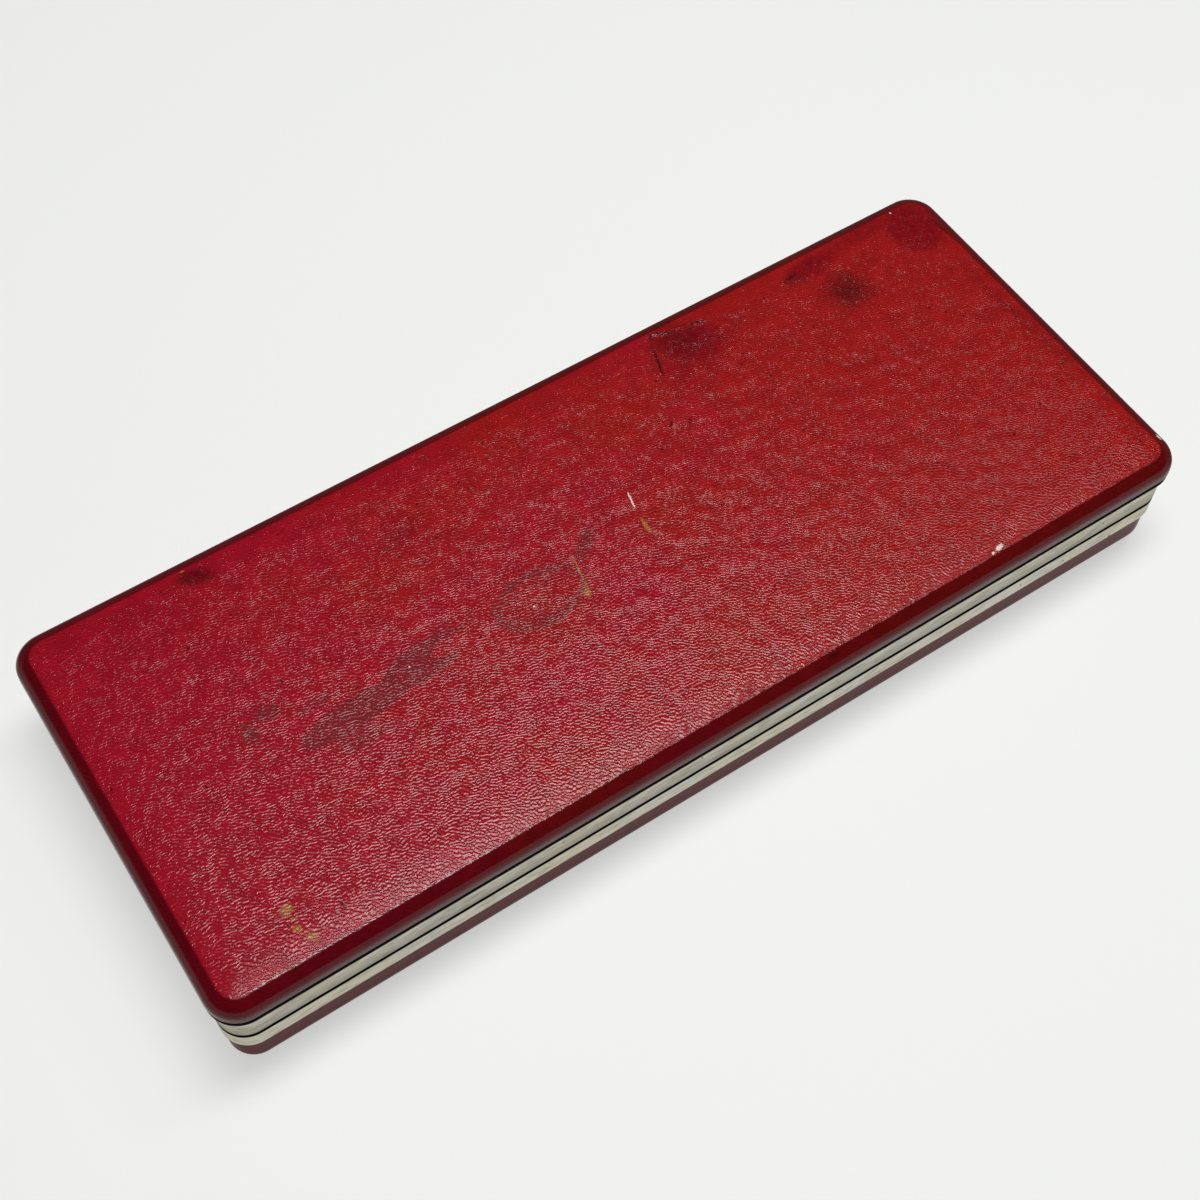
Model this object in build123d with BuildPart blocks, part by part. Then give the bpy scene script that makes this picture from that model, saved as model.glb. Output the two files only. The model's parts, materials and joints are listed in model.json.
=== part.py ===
from build123d import *
from math import cos, radians, sin
import os

# Snap-shut presentation case for a 150 mm dial caliper, lying closed. Millimetres.
# +X runs along the case, the front long side faces -Y, +Z is up.
# The origin is the middle of the underside. The case opens about a line at the back.

# Whole case
case_length = 250.0
case_width = 101.0
parting_height = 18.7
lid_height = 15.7
parting_gap = 0.5
corner_radius = 7.5
smallest_corner = 1.0

# Sheet and skin
covering_thickness = 0.7
shell_thickness = 0.45
frame_thickness = 0.45
glue_gap = 0.1
moving_gap = 0.3

# Lid
lid_crown_radius = 5.2
lid_covering_height = 6.0
rim_bead_height = 1.2
rim_bead_setback = 0.1
rim_bead_radius = 0.4
lid_overhang = 1.0

# Rims of lid and base
flange_width = 4.8
rim_edge_radius = 0.4
base_band_height = 5.25
channel_depth = 3.0

# Base
base_edge_radius = 4.5
covering_tuck = 1.5
shell_below_flange = 0.4

# Lid pad
lining_setback = 0.9
lining_thickness = 0.4
lining_above_flange = 1.0
pad_depth = 5.4
pad_valley_width = 1.0
pad_crown = 2.4
pad_edge_radius = 2.2
board_thickness = 1.2

# Fitted tray
tray_wall = 0.8
tray_under_flange = 0.4
tray_edge_radius = 1.2
tray_below_flange = 0.4
tray_foot_gap = 0.3
pocket_draft = 4.0
pocket_corner_radius = 3.0
pocket_rim_bevel = 0.5
pocket_rim_angle = 45.0

# Caliper that the tray is shaped for
caliper_clearance = 1.0
beam_length = 228.0
beam_width = 16.0
beam_centre_y = 8.0
beam_end_x = -114.0
beam_pocket_depth = 6.0
jaw_root_width = 31.0
jaw_tip_width = 13.0
lower_jaw_length = 40.0
upper_jaw_length = 21.0
jaw_pocket_depth = 7.5
slider_length = 62.0
slider_width = 27.0
slider_pocket_depth = 9.5
dial_diameter = 40.0
dial_centre_x = -50.0
dial_pocket_depth = 12.5
finger_well_length = 46.0
finger_well_width = 24.0
finger_well_x = 52.0
finger_well_depth = 9.5

# Spring hinges
hinge_spacing = 130.0
axis_inset = 0.3
open_angle = 100.0
leaf_thickness = 0.45
leaf_half_width = 15.5
leaf_corner_radius = 1.5
eye_radius = 1.25
pin_radius = 0.6
pin_seat_gap = 0.03
pin_running_gap = 0.06
pin_head_radius = 0.95
pin_head_length = 0.3
ear_half_spacing = 7.95
ear_root_length = 4.0
ear_root_depth = 0.3
cam_face = 0.9
cam_top = 0.8
cam_clearance = 0.1
base_leaf_above_radius = 1.5
base_leaf_below_flange = 0.7
lid_leaf_below_rim = 1.0
spring_thickness = 0.35
spring_seat_gap = 0.05
spring_tip_overlap = 0.3
spring_curl_radius = 1.6
spring_curl_angle = 40.0
seat_height = 3.0
rivet_spacing = 24.0
rivet_radius = 0.75
rivet_hole_gap = 0.05
rivet_head_radius = 1.3
rivet_head_height = 0.3
base_rivet_below_leaf_top = 1.4
lid_rivet_below_leaf_top = 1.95

# How far each layer lies inside the outline of the lid covering
lid_shell_inset = covering_thickness + glue_gap
lid_shell_inner_inset = lid_shell_inset + shell_thickness
band_inset = lid_overhang
band_inner_inset = band_inset + frame_thickness
upstand_inset = lid_shell_inner_inset + glue_gap
upstand_inner_inset = upstand_inset + frame_thickness
flange_inset = band_inset + flange_width
base_covering_inset = band_inner_inset + glue_gap
base_shell_inset = base_covering_inset + covering_thickness + glue_gap
base_shell_inner_inset = base_shell_inset + shell_thickness
lining_inset = upstand_inner_inset + lining_setback
pad_inset = lining_inset + lining_thickness + pad_valley_width
foam_inset = pad_inset + lining_thickness + glue_gap
channel_inset = base_shell_inner_inset + glue_gap
channel_inner_inset = channel_inset + frame_thickness
tray_inset = flange_inset - tray_under_flange

# Heights
case_height = parting_height + lid_height
lid_covering_bottom = case_height - lid_covering_height
lid_flange_bottom = parting_height + parting_gap / 2
lid_flange_top = lid_flange_bottom + frame_thickness
base_flange_top = parting_height - parting_gap / 2
base_flange_bottom = base_flange_top - frame_thickness
rim_bead_top = lid_covering_bottom - glue_gap
rim_bead_bottom = rim_bead_top - rim_bead_height
lid_band_top = rim_bead_bottom - glue_gap
upstand_top = case_height - lid_crown_radius
lid_shell_top = case_height - covering_thickness - glue_gap
lid_shell_ceiling = lid_shell_top - shell_thickness
base_band_bottom = base_flange_top - base_band_height
base_covering_top = base_band_bottom + covering_tuck
base_shell_bottom = covering_thickness + glue_gap
base_shell_floor = base_shell_bottom + shell_thickness
base_shell_top = base_flange_bottom - shell_below_flange
board_top = lid_shell_ceiling - glue_gap
board_bottom = board_top - board_thickness
foam_top = board_bottom - glue_gap
lining_face = board_top - pad_depth
foam_bottom = lining_face + lining_thickness + glue_gap
lining_edge = lid_flange_top + lining_above_flange
valley_top = lining_face + pad_crown
tray_top = base_flange_bottom - tray_below_flange
tray_bottom = base_shell_floor + tray_foot_gap

# Hinge lines, seen from the end of the case
axis_y = case_width / 2 - band_inset - axis_inset
axis_z = parting_height
base_leaf_outer_y = case_width / 2 - base_shell_inner_inset - glue_gap
base_leaf_inner_y = base_leaf_outer_y - leaf_thickness
spring_outer_y = base_leaf_inner_y - spring_seat_gap
spring_inner_y = spring_outer_y - spring_thickness
seat_outer_y = spring_inner_y - spring_seat_gap
seat_inner_y = seat_outer_y - leaf_thickness
lid_leaf_outer_y = case_width / 2 - band_inner_inset - glue_gap
lid_leaf_inner_y = lid_leaf_outer_y - leaf_thickness
band_outer_y = case_width / 2 - band_inset

# The lid ears are cams: one flat holds the case shut, the second holds it open
cam_distance = axis_y - spring_outer_y - cam_clearance
second_flat_y = -cos(radians(open_angle))
second_flat_z = -sin(radians(open_angle))
cam_corner_z = cam_distance * (1 + second_flat_y) / second_flat_z
cam_heel_y = cam_face - cam_distance
cam_heel_z = (cam_distance - second_flat_y * cam_heel_y) / second_flat_z

lid_ear_inner_x = ear_half_spacing
lid_ear_outer_x = lid_ear_inner_x + leaf_thickness
base_ear_inner_x = lid_ear_outer_x + moving_gap
base_ear_outer_x = base_ear_inner_x + leaf_thickness
pin_half_length = base_ear_outer_x + pin_seat_gap
notch_half_width = pin_half_length + pin_head_length + moving_gap
band_notch = eye_radius + moving_gap
shell_notch_bottom = axis_z + cam_corner_z - moving_gap - glue_gap
base_leaf_bottom = base_edge_radius + base_leaf_above_radius
base_leaf_top = base_flange_bottom - base_leaf_below_flange
spring_bottom = base_leaf_bottom + leaf_thickness + spring_seat_gap
spring_straight_top = axis_z - cam_corner_z - spring_tip_overlap
lid_leaf_bottom = axis_z + band_notch
lid_leaf_top = lid_band_top - frame_thickness - lid_leaf_below_rim
base_rivet_z = base_leaf_top - base_rivet_below_leaf_top
lid_rivet_z = lid_leaf_top - lid_rivet_below_leaf_top
rivet_hole_radius = rivet_radius + rivet_hole_gap
hinge_places = {"left": -hinge_spacing / 2, "right": hinge_spacing / 2}

os.makedirs("parts", exist_ok=True)


def outline(inset, mode=Mode.ADD):
    """Plan outline of the case, moved inwards by the inset."""
    radius = max(corner_radius - inset, smallest_corner)
    RectangleRounded(case_length - 2 * inset, case_width - 2 * inset, radius, mode=mode)


def plate(height, inset):
    """Sketch of the plan outline at a height."""
    with BuildSketch(Plane.XY.offset(height)) as sketch:
        outline(inset)
    return sketch.sketch


def ring(height, outer_inset, inner_inset):
    """Sketch of a ring between two insets, at a height."""
    with BuildSketch(Plane.XY.offset(height)) as sketch:
        outline(outer_inset)
        outline(inner_inset, mode=Mode.SUBTRACT)
    return sketch.sketch


def back_plane(y):
    """Upright plane at y that faces the back: its x is -X and its y is +Z."""
    return Plane(origin=(0, y, 0), x_dir=(-1, 0, 0), z_dir=(0, 1, 0))


def hinge_plane(x):
    """Plane across the case at x, centred on the hinge axis: its x is +Y and its y is +Z."""
    return Plane(origin=(x, axis_y, axis_z), x_dir=(0, 1, 0), z_dir=(1, 0, 0))


def back_rectangles(y, half_width, bottom, top):
    """Sketch of one rectangle at each hinge, on a back plane."""
    centres = [(-x, (bottom + top) / 2) for x in hinge_places.values()]
    with BuildSketch(back_plane(y)) as sketch:
        with Locations(*centres):
            Rectangle(2 * half_width, top - bottom)
    return sketch.sketch


def rivet_circles(y, radius, height, hinge_centres):
    """Sketch of the rivets' circles at a height, on a back plane."""
    offsets = (-rivet_spacing / 2, rivet_spacing / 2)
    centres = [(offset - x, height) for x in hinge_centres for offset in offsets]
    with BuildSketch(back_plane(y)) as sketch:
        with Locations(*centres):
            Circle(radius)
    return sketch.sketch


# Lid covering: leatherette skin with rounded edges
with BuildPart() as lid_covering:
    extrude(plate(lid_covering_bottom, 0), amount=case_height - lid_covering_bottom)
    fillet(lid_covering.faces().sort_by(Axis.Z)[-1].edges(), lid_crown_radius)
    offset(amount=-covering_thickness, openings=lid_covering.faces().sort_by(Axis.Z)[0])
lid_covering.part.label = "lid_covering"
export_step(lid_covering.part, "parts/lid_covering.step")

# Lid shell: pressed pan whose rim is rolled out into a bead below the covering
with BuildPart() as lid_shell:
    extrude(plate(rim_bead_bottom, lid_shell_inset), amount=lid_shell_top - rim_bead_bottom)
    fillet(lid_shell.faces().sort_by(Axis.Z)[-1].edges(), lid_crown_radius - lid_shell_inset)
    offset(amount=-shell_thickness, openings=lid_shell.faces().sort_by(Axis.Z)[0])
    extrude(ring(rim_bead_bottom, rim_bead_setback, lid_shell_inner_inset), amount=rim_bead_height)
    fillet(lid_shell.faces().sort_by(Axis.Z)[0].outer_wire().edges(), rim_bead_radius)
lid_shell.part.label = "lid_shell"
export_step(lid_shell.part, "parts/lid_shell.step")

# Lid frame: enamelled rim with a band, a meeting flange and an upstand inside the shell
with BuildPart() as lid_frame:
    extrude(
        ring(lid_flange_bottom, band_inset, band_inner_inset),
        amount=lid_band_top - lid_flange_bottom,
    )
    extrude(ring(lid_flange_bottom, band_inset, flange_inset), amount=frame_thickness)
    extrude(ring(lid_band_top, band_inset, upstand_inner_inset), amount=-frame_thickness)
    extrude(
        ring(upstand_top, upstand_inset, upstand_inner_inset),
        amount=lid_band_top - frame_thickness - upstand_top,
    )
    fillet(lid_frame.faces().sort_by(Axis.Z)[0].outer_wire().edges(), rim_edge_radius)
    extrude(
        back_rectangles(case_width / 2, notch_half_width, axis_z - band_notch, axis_z + band_notch),
        amount=-flange_inset,
        mode=Mode.SUBTRACT,
    )
    extrude(
        rivet_circles(band_outer_y, rivet_hole_radius, lid_rivet_z, hinge_places.values()),
        amount=-frame_thickness,
        mode=Mode.SUBTRACT,
    )
lid_frame.part.label = "lid_frame"
export_step(lid_frame.part, "parts/lid_frame.step")

# Card that stiffens the lid pad
with BuildPart() as lid_pad_board:
    extrude(plate(board_bottom, foam_inset), amount=board_thickness)
lid_pad_board.part.label = "lid_pad_board"
export_step(lid_pad_board.part, "parts/lid_pad_board.step")

# Foam of the lid pad, crowned towards the inside of the case
with BuildPart() as lid_foam_pad:
    extrude(plate(foam_bottom, foam_inset), amount=foam_top - foam_bottom)
    fillet(lid_foam_pad.faces().sort_by(Axis.Z)[0].edges(), pad_edge_radius - lining_thickness)
lid_foam_pad.part.label = "lid_foam_pad"
export_step(lid_foam_pad.part, "parts/lid_foam_pad.step")

# Satin lining: a pillow over the pad, a valley round it, and the walls of the lid
with BuildPart() as lid_lining:
    extrude(plate(lining_face, pad_inset), amount=pad_crown)
    fillet(lid_lining.faces().sort_by(Axis.Z)[0].edges(), pad_edge_radius)
    offset(amount=-lining_thickness, openings=lid_lining.faces().sort_by(Axis.Z)[-1])
    extrude(
        ring(valley_top, lining_inset, pad_inset + lining_thickness),
        amount=-lining_thickness,
    )
    extrude(
        ring(lining_edge, lining_inset, lining_inset + lining_thickness),
        amount=valley_top - lining_edge,
    )
lid_lining.part.label = "lid_lining"
export_step(lid_lining.part, "parts/lid_lining.step")

# Base covering: the same skin, tucked up behind the base band
with BuildPart() as base_covering:
    extrude(plate(0, base_covering_inset), amount=base_covering_top)
    fillet(base_covering.faces().sort_by(Axis.Z)[0].edges(), base_edge_radius)
    offset(amount=-covering_thickness, openings=base_covering.faces().sort_by(Axis.Z)[-1])
base_covering.part.label = "base_covering"
export_step(base_covering.part, "parts/base_covering.step")

# Base shell: pressed pan, notched at the hinges
with BuildPart() as base_shell:
    extrude(plate(base_shell_bottom, base_shell_inset), amount=base_shell_top - base_shell_bottom)
    fillet(base_shell.faces().sort_by(Axis.Z)[0].edges(), base_edge_radius - base_shell_bottom)
    offset(amount=-shell_thickness, openings=base_shell.faces().sort_by(Axis.Z)[-1])
    extrude(
        back_rectangles(case_width / 2, notch_half_width, shell_notch_bottom, axis_z),
        amount=-channel_inset,
        mode=Mode.SUBTRACT,
    )
    extrude(
        rivet_circles(case_width / 2, rivet_hole_radius, base_rivet_z, hinge_places.values()),
        amount=-channel_inset,
        mode=Mode.SUBTRACT,
    )
base_shell.part.label = "base_shell"
export_step(base_shell.part, "parts/base_shell.step")

# Base frame: enamelled channel that straddles the edges of the shell and the covering
with BuildPart() as base_frame:
    extrude(
        ring(base_band_bottom, band_inset, band_inner_inset),
        amount=base_flange_top - base_band_bottom,
    )
    extrude(ring(base_flange_bottom, band_inset, flange_inset), amount=frame_thickness)
    extrude(ring(base_flange_bottom, channel_inset, channel_inner_inset), amount=-channel_depth)
    fillet(base_frame.faces().sort_by(Axis.Z)[-1].outer_wire().edges(), rim_edge_radius)
    extrude(
        back_rectangles(case_width / 2, notch_half_width, axis_z - band_notch, axis_z + band_notch),
        amount=-flange_inset,
        mode=Mode.SUBTRACT,
    )
    extrude(
        back_rectangles(
            case_width / 2 - base_shell_inner_inset,
            leaf_half_width + moving_gap,
            base_flange_bottom - channel_depth,
            base_flange_bottom,
        ),
        amount=-(channel_inner_inset - base_shell_inner_inset),
        mode=Mode.SUBTRACT,
    )
    extrude(
        rivet_circles(band_outer_y, rivet_hole_radius, base_rivet_z, hinge_places.values()),
        amount=-frame_thickness,
        mode=Mode.SUBTRACT,
    )
base_frame.part.label = "base_frame"
export_step(base_frame.part, "parts/base_frame.step")

# Pockets of the fitted tray, each a plan outline with its depth
beam_low_y = beam_centre_y - beam_width / 2 - caliper_clearance
beam_high_y = beam_centre_y + beam_width / 2 + caliper_clearance
jaw_left_x = beam_end_x - caliper_clearance
jaw_right_x = beam_end_x + jaw_root_width + caliper_clearance
jaw_middle_x = (jaw_left_x + jaw_right_x) / 2
jaw_tip_half_width = jaw_tip_width / 2 + caliper_clearance
with BuildSketch(Plane.XY.offset(tray_top)) as beam_pocket:
    with Locations((beam_end_x + beam_length / 2, beam_centre_y)):
        RectangleRounded(
            beam_length + 2 * caliper_clearance,
            beam_width + 2 * caliper_clearance,
            pocket_corner_radius,
        )
with BuildSketch(Plane.XY.offset(tray_top)) as jaw_pocket:
    with BuildLine():
        Polyline(
            (jaw_left_x, beam_low_y),
            (jaw_middle_x - jaw_tip_half_width, beam_low_y - lower_jaw_length),
            (jaw_middle_x + jaw_tip_half_width, beam_low_y - lower_jaw_length),
            (jaw_right_x, beam_low_y),
            (jaw_right_x, beam_high_y),
            (jaw_middle_x + jaw_tip_half_width, beam_high_y + upper_jaw_length),
            (jaw_middle_x - jaw_tip_half_width, beam_high_y + upper_jaw_length),
            (jaw_left_x, beam_high_y),
            close=True,
        )
    make_face()
    fillet(jaw_pocket.vertices(), pocket_corner_radius)
with BuildSketch(Plane.XY.offset(tray_top)) as slider_pocket:
    with Locations((dial_centre_x, beam_centre_y)):
        RectangleRounded(
            slider_length + 2 * caliper_clearance,
            slider_width + 2 * caliper_clearance,
            pocket_corner_radius,
        )
with BuildSketch(Plane.XY.offset(tray_top)) as dial_pocket:
    with Locations((dial_centre_x, beam_centre_y)):
        Circle(dial_diameter / 2 + caliper_clearance)
with BuildSketch(Plane.XY.offset(tray_top)) as finger_well:
    with Locations((finger_well_x, beam_centre_y)):
        SlotOverall(finger_well_length, finger_well_width, rotation=90)
pockets = [
    (beam_pocket.sketch, beam_pocket_depth),
    (jaw_pocket.sketch, jaw_pocket_depth),
    (slider_pocket.sketch, slider_pocket_depth),
    (dial_pocket.sketch, dial_pocket_depth),
    (finger_well.sketch, finger_well_depth),
]

# Fitted tray: one formed sheet with a skirt, whose pockets hang below its top
with BuildPart() as fitted_tray:
    extrude(plate(tray_bottom, tray_inset), amount=tray_top - tray_bottom)
    fillet(fitted_tray.faces().sort_by(Axis.Z)[-1].edges(), tray_edge_radius)
    offset(amount=-tray_wall, openings=fitted_tray.faces().sort_by(Axis.Z)[0])
    for pocket, depth in pockets:
        walls = offset(pocket, amount=tray_wall, mode=Mode.PRIVATE)
        extrude(walls, amount=-(depth + tray_wall), taper=pocket_draft)
    for pocket, depth in pockets:
        extrude(pocket, amount=-depth, taper=pocket_draft, mode=Mode.SUBTRACT)
        mouth = offset(pocket, amount=pocket_rim_bevel, mode=Mode.PRIVATE)
        extrude(mouth, amount=-pocket_rim_bevel, taper=pocket_rim_angle, mode=Mode.SUBTRACT)
fitted_tray.part.label = "fitted_tray"
export_step(fitted_tray.part, "parts/fitted_tray.step")

# Outlines of the ears, as seen from the end of the case and centred on the hinge axis
base_leaf_outer = base_leaf_outer_y - axis_y
base_leaf_inner = base_leaf_inner_y - axis_y
lid_leaf_outer = lid_leaf_outer_y - axis_y
lid_ear_root = lid_leaf_inner_y - axis_y - ear_root_depth
base_ear_points = [
    (base_leaf_inner, -ear_root_length),
    (base_leaf_outer, -ear_root_length),
    (base_leaf_outer, cam_corner_z),
    (0, -eye_radius),
    (0, eye_radius),
    (base_leaf_inner, 0),
]
lid_ear_points = [
    (-cam_distance, cam_top),
    (-cam_distance, cam_corner_z),
    (cam_heel_y, cam_heel_z),
    (0, -eye_radius),
    (0, eye_radius),
    (lid_leaf_outer, band_notch),
    (lid_leaf_outer, band_notch + ear_root_length),
    (lid_ear_root, band_notch + ear_root_length),
    (lid_ear_root, band_notch),
]


def ear(x, points, hole_radius):
    """Sketch of one ear: its outline, the round eye and the hole for the pin."""
    with BuildSketch(hinge_plane(x)) as sketch:
        with BuildLine():
            Polyline(*points, close=True)
        make_face()
        Circle(eye_radius)
        Circle(hole_radius, mode=Mode.SUBTRACT)
    return sketch.sketch


for side, hinge_x in hinge_places.items():

    # Base leaf: plate with two ears, and a fold at its foot that holds the spring
    with BuildPart() as base_leaf:
        with BuildSketch(back_plane(base_leaf_outer_y)):
            with Locations((-hinge_x, (base_leaf_bottom + base_leaf_top) / 2)):
                RectangleRounded(
                    2 * leaf_half_width, base_leaf_top - base_leaf_bottom, leaf_corner_radius
                )
            with Locations((-hinge_x, base_leaf_top)):
                Rectangle(
                    2 * base_ear_inner_x,
                    2 * (base_leaf_top - shell_notch_bottom),
                    mode=Mode.SUBTRACT,
                )
        extrude(amount=-leaf_thickness)
        for ear_x in (base_ear_inner_x, -base_ear_outer_x):
            extrude(
                ear(hinge_x + ear_x, base_ear_points, pin_radius + pin_seat_gap),
                amount=leaf_thickness,
            )
        with BuildSketch(hinge_plane(hinge_x - lid_ear_outer_x)):
            with Locations((seat_inner_y - axis_y, base_leaf_bottom - axis_z)):
                Rectangle(
                    base_leaf_outer_y - seat_inner_y,
                    leaf_thickness,
                    align=(Align.MIN, Align.MIN),
                )
                Rectangle(leaf_thickness, seat_height, align=(Align.MIN, Align.MIN))
        extrude(amount=2 * lid_ear_outer_x)
        extrude(
            rivet_circles(base_leaf_outer_y, rivet_hole_radius, base_rivet_z, [hinge_x]),
            amount=-leaf_thickness,
            mode=Mode.SUBTRACT,
        )
    base_leaf.part.label = f"base_hinge_leaf_{side}"
    export_step(base_leaf.part, f"parts/base_hinge_leaf_{side}.step")

    # Lid leaf: plate with two ears whose lower ends are the cams
    with BuildPart() as lid_leaf:
        with BuildSketch(back_plane(lid_leaf_outer_y)):
            with Locations((-hinge_x, (lid_leaf_bottom + lid_leaf_top) / 2)):
                RectangleRounded(
                    2 * leaf_half_width, lid_leaf_top - lid_leaf_bottom, leaf_corner_radius
                )
        extrude(amount=-leaf_thickness)
        for ear_x in (lid_ear_inner_x, -lid_ear_outer_x):
            extrude(
                ear(hinge_x + ear_x, lid_ear_points, pin_radius + pin_running_gap),
                amount=leaf_thickness,
            )
        extrude(
            rivet_circles(lid_leaf_outer_y, rivet_hole_radius, lid_rivet_z, [hinge_x]),
            amount=-leaf_thickness,
            mode=Mode.SUBTRACT,
        )
    lid_leaf.part.label = f"lid_hinge_leaf_{side}"
    export_step(lid_leaf.part, f"parts/lid_hinge_leaf_{side}.step")

    # Pin with a head beyond each base ear
    with BuildPart() as hinge_pin:
        with BuildSketch(hinge_plane(hinge_x - pin_half_length)):
            Circle(pin_radius)
        extrude(amount=2 * pin_half_length)
        with BuildSketch(hinge_plane(hinge_x - pin_half_length)):
            Circle(pin_head_radius)
        extrude(amount=-pin_head_length)
        with BuildSketch(hinge_plane(hinge_x + pin_half_length)):
            Circle(pin_head_radius)
        extrude(amount=pin_head_length)
    hinge_pin.part.label = f"hinge_pin_{side}"
    export_step(hinge_pin.part, f"parts/hinge_pin_{side}.step")

    # Snap spring: flat strip that stands in the fold and presses on the cams
    spring_middle = (spring_inner_y + spring_outer_y) / 2 - axis_y
    with BuildPart() as snap_spring:
        with BuildLine(hinge_plane(hinge_x)) as spring_line:
            straight = Line(
                (spring_middle, spring_bottom - axis_z),
                (spring_middle, spring_straight_top - axis_z),
            )
            JernArc(straight @ 1, (0, 1), spring_curl_radius, spring_curl_angle)
        with BuildSketch(Plane(spring_line.line @ 0, x_dir=(1, 0, 0), z_dir=(0, 0, 1))):
            Rectangle(2 * lid_ear_outer_x, spring_thickness)
        sweep()
    snap_spring.part.label = f"snap_spring_{side}"
    export_step(snap_spring.part, f"parts/snap_spring_{side}.step")


def rivet_group(height, inner_y):
    """All rivets of one height as separate solids, each turned about its own axis."""
    grip = band_outer_y - inner_y
    offsets = (-rivet_spacing / 2, rivet_spacing / 2)
    centres = [x + offset for x in hinge_places.values() for offset in offsets]
    with BuildPart() as rivets:
        for centre_x in centres:
            middle = Plane(origin=(centre_x, inner_y, height))
            with BuildSketch(middle):
                with BuildLine():
                    Polyline(
                        (0, grip + rivet_head_height),
                        (0, -rivet_head_height),
                        (rivet_head_radius, -rivet_head_height),
                        (rivet_head_radius, 0),
                        (rivet_radius, 0),
                        (rivet_radius, grip),
                        (rivet_head_radius, grip),
                    )
                    TangentArc(
                        (0, grip + rivet_head_height), (rivet_head_radius, grip), tangent=(1, 0)
                    )
                make_face()
            revolve(axis=Axis(middle.origin, (0, 1, 0)))
    return rivets.part


# Rivets through band, shell and base leaf
base_hinge_rivets = rivet_group(base_rivet_z, base_leaf_inner_y)
base_hinge_rivets.label = "base_hinge_rivets"
export_step(base_hinge_rivets, "parts/base_hinge_rivets.step")

# Rivets through band and lid leaf
lid_hinge_rivets = rivet_group(lid_rivet_z, lid_leaf_inner_y)
lid_hinge_rivets.label = "lid_hinge_rivets"
export_step(lid_hinge_rivets, "parts/lid_hinge_rivets.step")
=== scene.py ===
# %% [markdown]
# # A snap-shut presentation case for a caliper
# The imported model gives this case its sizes, its pieces and its hinge. This lesson gives it its
# looks: grained red leathercloth, ivory enamelled rims, and the satin and flock that show when
# the lid swings up. Nothing of the model is moved, so every size below is read from it.

# %% Load the fixed frame
import json
from math import cos, pi, radians, sin

import bmesh
import bpy
import numpy as np
from mathutils import Matrix, Vector


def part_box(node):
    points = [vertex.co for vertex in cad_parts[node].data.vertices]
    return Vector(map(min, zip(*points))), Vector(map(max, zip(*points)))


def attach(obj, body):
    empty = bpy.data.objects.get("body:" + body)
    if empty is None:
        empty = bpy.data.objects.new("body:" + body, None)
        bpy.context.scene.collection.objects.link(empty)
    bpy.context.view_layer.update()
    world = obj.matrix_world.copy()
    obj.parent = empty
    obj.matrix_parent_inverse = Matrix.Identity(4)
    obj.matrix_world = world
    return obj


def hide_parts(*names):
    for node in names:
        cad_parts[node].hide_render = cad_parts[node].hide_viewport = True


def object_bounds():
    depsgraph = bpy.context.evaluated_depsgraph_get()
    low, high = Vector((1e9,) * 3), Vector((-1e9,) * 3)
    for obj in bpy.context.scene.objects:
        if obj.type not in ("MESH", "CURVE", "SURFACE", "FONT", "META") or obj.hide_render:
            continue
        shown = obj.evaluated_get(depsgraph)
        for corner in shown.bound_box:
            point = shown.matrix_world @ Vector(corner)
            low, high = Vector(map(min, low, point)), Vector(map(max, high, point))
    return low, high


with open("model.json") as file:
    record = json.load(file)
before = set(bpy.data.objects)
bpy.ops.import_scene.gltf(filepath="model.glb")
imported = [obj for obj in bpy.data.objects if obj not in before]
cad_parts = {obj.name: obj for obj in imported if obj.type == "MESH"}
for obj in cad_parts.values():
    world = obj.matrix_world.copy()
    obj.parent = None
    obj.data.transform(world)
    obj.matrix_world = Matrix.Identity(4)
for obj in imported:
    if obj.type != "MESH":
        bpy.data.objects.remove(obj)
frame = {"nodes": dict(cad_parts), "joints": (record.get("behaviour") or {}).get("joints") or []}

MM = 0.001
cad_low, cad_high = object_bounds()
case_size = (cad_high - cad_low) / MM
print("case", [round(v, 2) for v in case_size], "mm")

# %% [markdown]
# ## Colours and nodes
# Paint books and colour pickers give sRGB values, but a shader works in linear light, so one
# function turns a hex colour into what the shader needs. A second one adds any node with its
# options and its sockets, which keeps each material as short as its list of nodes.


# %% One colour function and one node function
def srgb(hex_code):
    """Linear RGBA of an sRGB hex colour: c / 12.92 below 0.04045, above it
    ((c + 0.055) / 1.055) ** 2.4."""
    c = np.array([int(hex_code[i:i + 2], 16) for i in (0, 2, 4)]) / 255
    linear = np.where(c <= 0.04045, c / 12.92, ((c + 0.055) / 1.055) ** 2.4)
    return (*(float(v) for v in linear), 1.0)


def feed(tree, node, sockets):
    """Gives each named input of a node its value, or a link from another node's output."""
    for socket, value in sockets.items():
        if isinstance(value, bpy.types.NodeSocket):
            tree.links.new(value, node.inputs[socket])
        else:
            node.inputs[socket].default_value = value


def add(tree, kind, settings=None, sockets=None):
    """Adds one shader node: settings are its options, sockets are values or links for its inputs."""
    node = tree.nodes.new("ShaderNode" + kind)
    for name, value in (settings or {}).items():
        setattr(node, name, value)
    feed(tree, node, sockets or {})
    return node


def new_material(name):
    """An empty node material with its output and its Principled shader already joined."""
    material = bpy.data.materials.new(name)
    material.use_nodes = True
    tree = material.node_tree
    tree.nodes.clear()
    output = tree.nodes.new("ShaderNodeOutputMaterial")
    shader = tree.nodes.new("ShaderNodeBsdfPrincipled")
    tree.links.new(shader.outputs["BSDF"], output.inputs["Surface"])
    return material, tree, shader


# The three sockets of a colour Mix node that carry its first colour, second colour and result
MIX_A, MIX_B, MIX_RESULT = 6, 7, 2

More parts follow.
